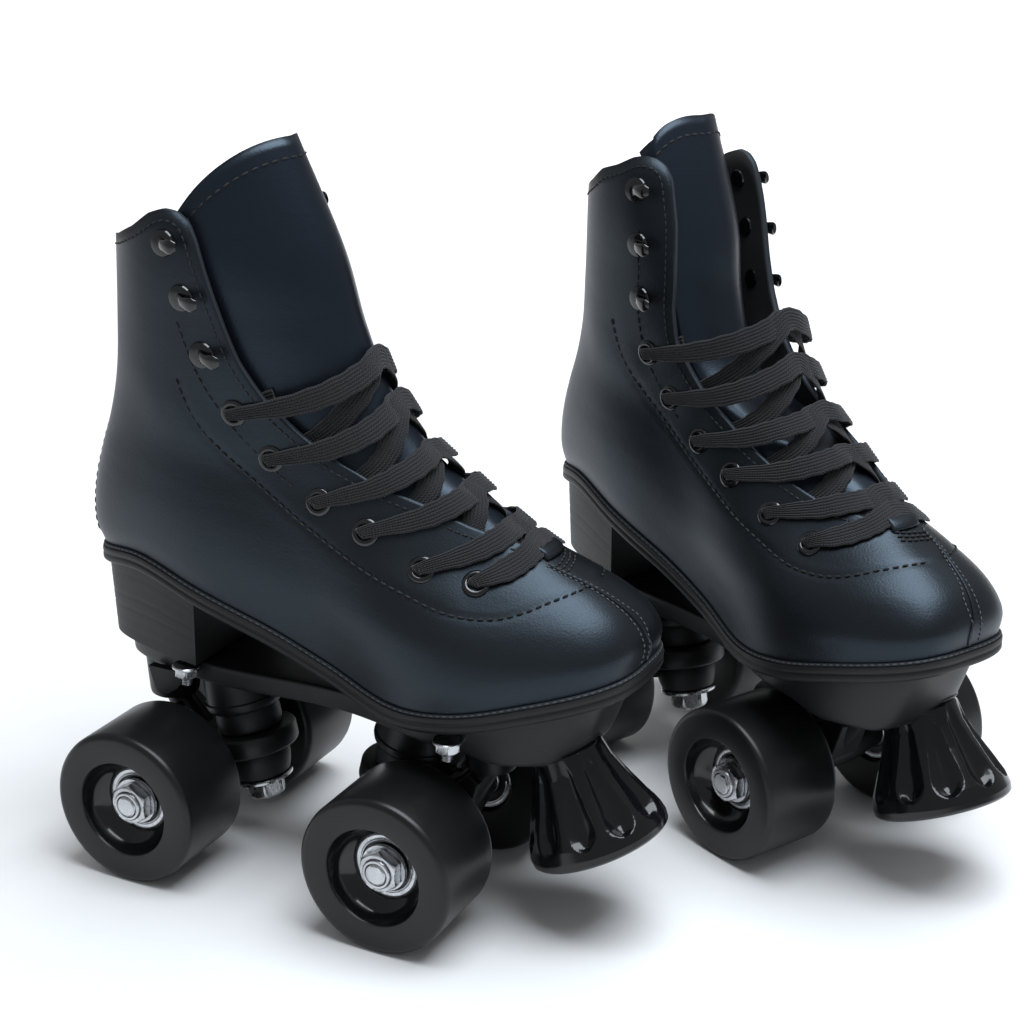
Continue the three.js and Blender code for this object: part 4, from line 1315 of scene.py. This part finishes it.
# ---- Plate and hangers -------------------------------------------------------------------------
PLATE_INSET = 7
PLATE_STEPS = ((0, 1.4), (0.02, 0.5), (0.07, 0.12), (0.14, 0), (0.3, 0), (0.5, 0), (0.7, 0), (0.86, 0),
               (0.93, 0.12), (0.98, 0.5), (1, 1.4))  # share of the height, and how far pulled in
KINGPIN_BOSS = [(34.8, 6.0), (34.8, 11.2), (35.2, 12.4), (36.2, 13.2), (37.5, 13.6), (38.6, 13.6),
                (39.0, 13.0), (47, 12.4), (51, 12.4)]
PIVOT_CUP = [(-1.5, 5.4), (-1.5, 7.6), (-0.9, 8.4), (0.4, 8.7), (15.5, 9.8)]
PIVOT_FIN = ((48, 62), (49, 57.5), (50.5, 55.5), (55, 52.4), (57.5, 52.2), (59.3, 53.5), (62, 62))
STOP_BOSS = [(-15, 12.5), (-2, 13.2), (-0.9, 13.2), (-0.35, 12.6), (-0.3, 4.5)]
HANGER_RING = [(19.4, 5.6), (19.2, 14.0), (19.6, 15.0), (20.6, 15.5), (25.4, 15.5), (26.4, 15.0),
               (26.8, 14.0), (26.6, 5.6)]
HANGER_WEB = ((40, 31), (40, 24), (44, 20.5), (48, 19.8), (54, 21.5), (58, 31), (61.5, 41.5),
              (58, 44.5), (51, 38), (46, 36.5))
HANGER_RIB = ((30, 33), (33, 26), (46, 22), (50, 30), (46, 36))
AXLE_TUBE = [(-22.2, 4.2), (-22.2, 5.4), (-21.6, 6.0), (-18.5, 6.3), (-15, 7.0), (-9, 8.0), (9, 8.0),
             (15, 7.0), (18.5, 6.3), (21.6, 6.0), (22.2, 5.4), (22.2, 4.2)]
PIVOT_ARM = ((50, 30), (55, 36), (59.5, 42), (62.4, 46))
BALL_RADIUS = 4.6


def plate_top(x):
    """The plate's upper face: flat under the arch, following the sole at the toe."""
    return np.minimum(sole_z(x) - SOLE_EDGE - 0.3, np.interp(x, (56, 62), (DECK_TOP, 100)))


def plate_bottom(x):
    """The plate's lower face, with the toe-stop block at its front."""
    return smooth_steps(x, ((-90, 61), (62, 61), (73, 57), (93, 57), (100, 60.5), (106, 68), (110, 76)))


def smooth_steps(x, keys):
    """Piecewise values with softened corners."""
    x = np.asarray(x, float)
    a, b = np.array(keys, float).T
    return sum(np.interp(x + d, a, b) for d in (-3, -1.5, 0, 1.5, 3)) / 5


def plate_row(part, tuck):
    """The plate's outline at a height from top (0) to bottom (1), pulled in by tuck."""
    plan = outline(240, -PLATE_INSET - tuck)
    taper = np.interp(plan[:, 0], (50, 75, 105), (0.6, 4.0, 8.0)) * part ** 1.4
    middle = np.array((14.0, INWARD))
    away = plan - middle
    reach = np.linalg.norm(away, axis=1)[:, None]
    plan = middle + away * (reach - taper[:, None]) / reach
    plan[:, 0] = np.maximum(plan[:, 0], -79 + tuck)
    top, bottom = plate_top(plan[:, 0]), plate_bottom(plan[:, 0])
    return np.column_stack((plan, top + (np.minimum(bottom, top - 1) - top) * part))


def across_fill(shape, row):
    """A face closed between the two halves of an outline."""
    half = len(row) // 2
    left, right = row[:half + 1], np.concatenate((row[:1], row[:half - 1:-1]))
    shape.grid([left + (right - left) * k / 10 for k in range(11)])


def mirrored(points, end):
    """Points in x and z, turned to face the front (end 1) or the rear (end -1)."""
    return np.array([(end * x, z) for x, z in points], float)


def make_plate():
    """The moulded plate, with its kingpin bosses, pivot cups, fins and toe-stop boss."""
    shape = Shape()
    rows = [plate_row(part, tuck) for part, tuck in PLATE_STEPS]
    shape.grid(rows, closed=True)
    across_fill(shape, rows[0])
    across_fill(shape, rows[-1])
    for _, end in ENDS:
        turned(shape, pin(0, end), pin_axis(end), KINGPIN_BOSS, 64, caps=True)
        cup = np.array((end * PIVOT[0], 0, PIVOT[1]), float)
        turned(shape, cup, (0, 0, 1), PIVOT_CUP, 48, caps=True)
        for sign in (-1, 1):
            extruded(shape, mirrored(PIVOT_FIN, end), sign * 13, sign * 16)
    turned(shape, (STOP_TOP[0], 0, STOP_TOP[1]), STOP_AXIS, STOP_BOSS, 64)
    shape.place("plate_body", "boot", ("plastic",), replaces=("plate",), slot="plate_plastic", bevel=0.6,
                smooth=40)


def make_hangers():
    """The truck's casting: ring round the kingpin, axle tube, web between them and the pivot arm."""
    half_turn = np.linspace(-math.pi / 2, math.pi / 2, 19)
    ball = [(BALL_RADIUS * math.sin(a), BALL_RADIUS * math.cos(a)) for a in half_turn]
    for name, end in ENDS:
        shape = Shape()
        turned(shape, pin(0, end), pin_axis(end), HANGER_RING + HANGER_RING[:1], 72)
        extruded(shape, mirrored(HANGER_WEB, end), -7, 7)
        for sign in (-1, 1):
            extruded(shape, mirrored(HANGER_RIB, end), sign * 8.5, sign * 11.5)
        turned(shape, axle_point(end, 0), (0, 1, 0), AXLE_TUBE + AXLE_TUBE[:1], 56)
        arm = along([(end * x, 0, z) for x, z in PIVOT_ARM], 14)
        tube(shape, arm, np.linspace(6.6, 4.0, 14), 32)
        turned(shape, np.array((end * PIVOT[0], 0, PIVOT[1]), float), (0, 0, 1), ball, 40)
        shape.place(f"{name}_hanger_casting", f"{name}_truck", ("plastic",), replaces=(f"{name}_hanger",),
                    slot="plate_plastic", bevel=0.5, smooth=40)


# ---- CAD pieces that stay, with finer finish ---------------------------------------------------
def finish_cad_nodes():
    """The toe-stop bolts keep their CAD shape and get the steel's finish."""
    for side in SIDES:
        obj = bpy.data.objects[f"{side}_toe_stop_bolt"]
        obj.data.materials.clear()
        obj.data.materials.append(MATERIALS["steel"])


# ---- Floor and light ---------------------------------------------------------------------------
def make_stage():
    """A wide pale floor under the pair."""
    low, high = CAD_BOUNDS
    middle = (low + high) / 2
    bpy.ops.mesh.primitive_plane_add(size=8, location=(middle.x, middle.y, 0))
    floor = bpy.context.object
    floor.name = "floor"
    n = Nodes("pale_floor")
    grain = n.noise(40, 3)
    material = n.set(Base_Color=n.blend(grain, (0.86, 0.86, 0.86), (0.90, 0.90, 0.90)), Roughness=0.75)
    floor.data.materials.append(material)


# Lights: where each stands, what it points at (metres), its size and its power.
SOFTBOX = ((0.30, 0.0, 1.5), (0.02, 0.05, 0.1), 1.1, 30)
BACKDROP = ((-0.8, 2.0, 1.6), (-1.1, 2.8, 0.0), 2.6, 60)
WORLD_COLOR, WORLD_STRENGTH = (0.95, 0.97, 1.0, 1), 0.30


def area_light(name, at, toward, size, power, color=(1, 1, 1)):
    data = bpy.data.lights.new(name, "AREA")
    data.energy = power
    data.color = color
    data.shape = "RECTANGLE"
    data.size = size
    data.size_y = size
    light = bpy.data.objects.new(name, data)
    bpy.context.scene.collection.objects.link(light)
    light.location = at
    light.rotation_euler = (Vector(toward) - Vector(at)).to_track_quat("-Z", "Y").to_euler()
    return light


def make_lights():
    """A softbox overhead, a light on the floor behind, and a dim even surround."""
    bpy.context.scene.view_settings.view_transform = "Standard"
    world = bpy.data.worlds.new("studio")
    bpy.context.scene.world = world
    world.use_nodes = True
    background = world.node_tree.nodes["Background"]
    background.inputs["Color"].default_value = WORLD_COLOR
    background.inputs["Strength"].default_value = WORLD_STRENGTH
    area_light("softbox", *SOFTBOX, (0.88, 0.94, 1.0))
    backdrop = area_light("backdrop", *BACKDROP)
    backdrop.visible_glossy = False  # it whitens the floor behind without a glare on the heels


# ---- Build -------------------------------------------------------------------------------------
MATERIALS = make_materials()


def main():
    make_camera()
    make_upper()
    make_upper_stitching()
    make_toe_seam()
    make_throat_tab()
    make_counter()
    make_insole()
    make_eyelets()
    make_hooks()
    for side in SIDES:
        make_tongue(side)
    make_lace()
    make_outsole()
    make_welt()
    make_heel()
    make_wheels()
    make_axles()
    make_kingpins()
    make_cushions()
    make_toe_stop()
    make_plate()
    make_hangers()
    make_plate_bolts()
    finish_cad_nodes()
    make_stage()
    make_lights()


main()
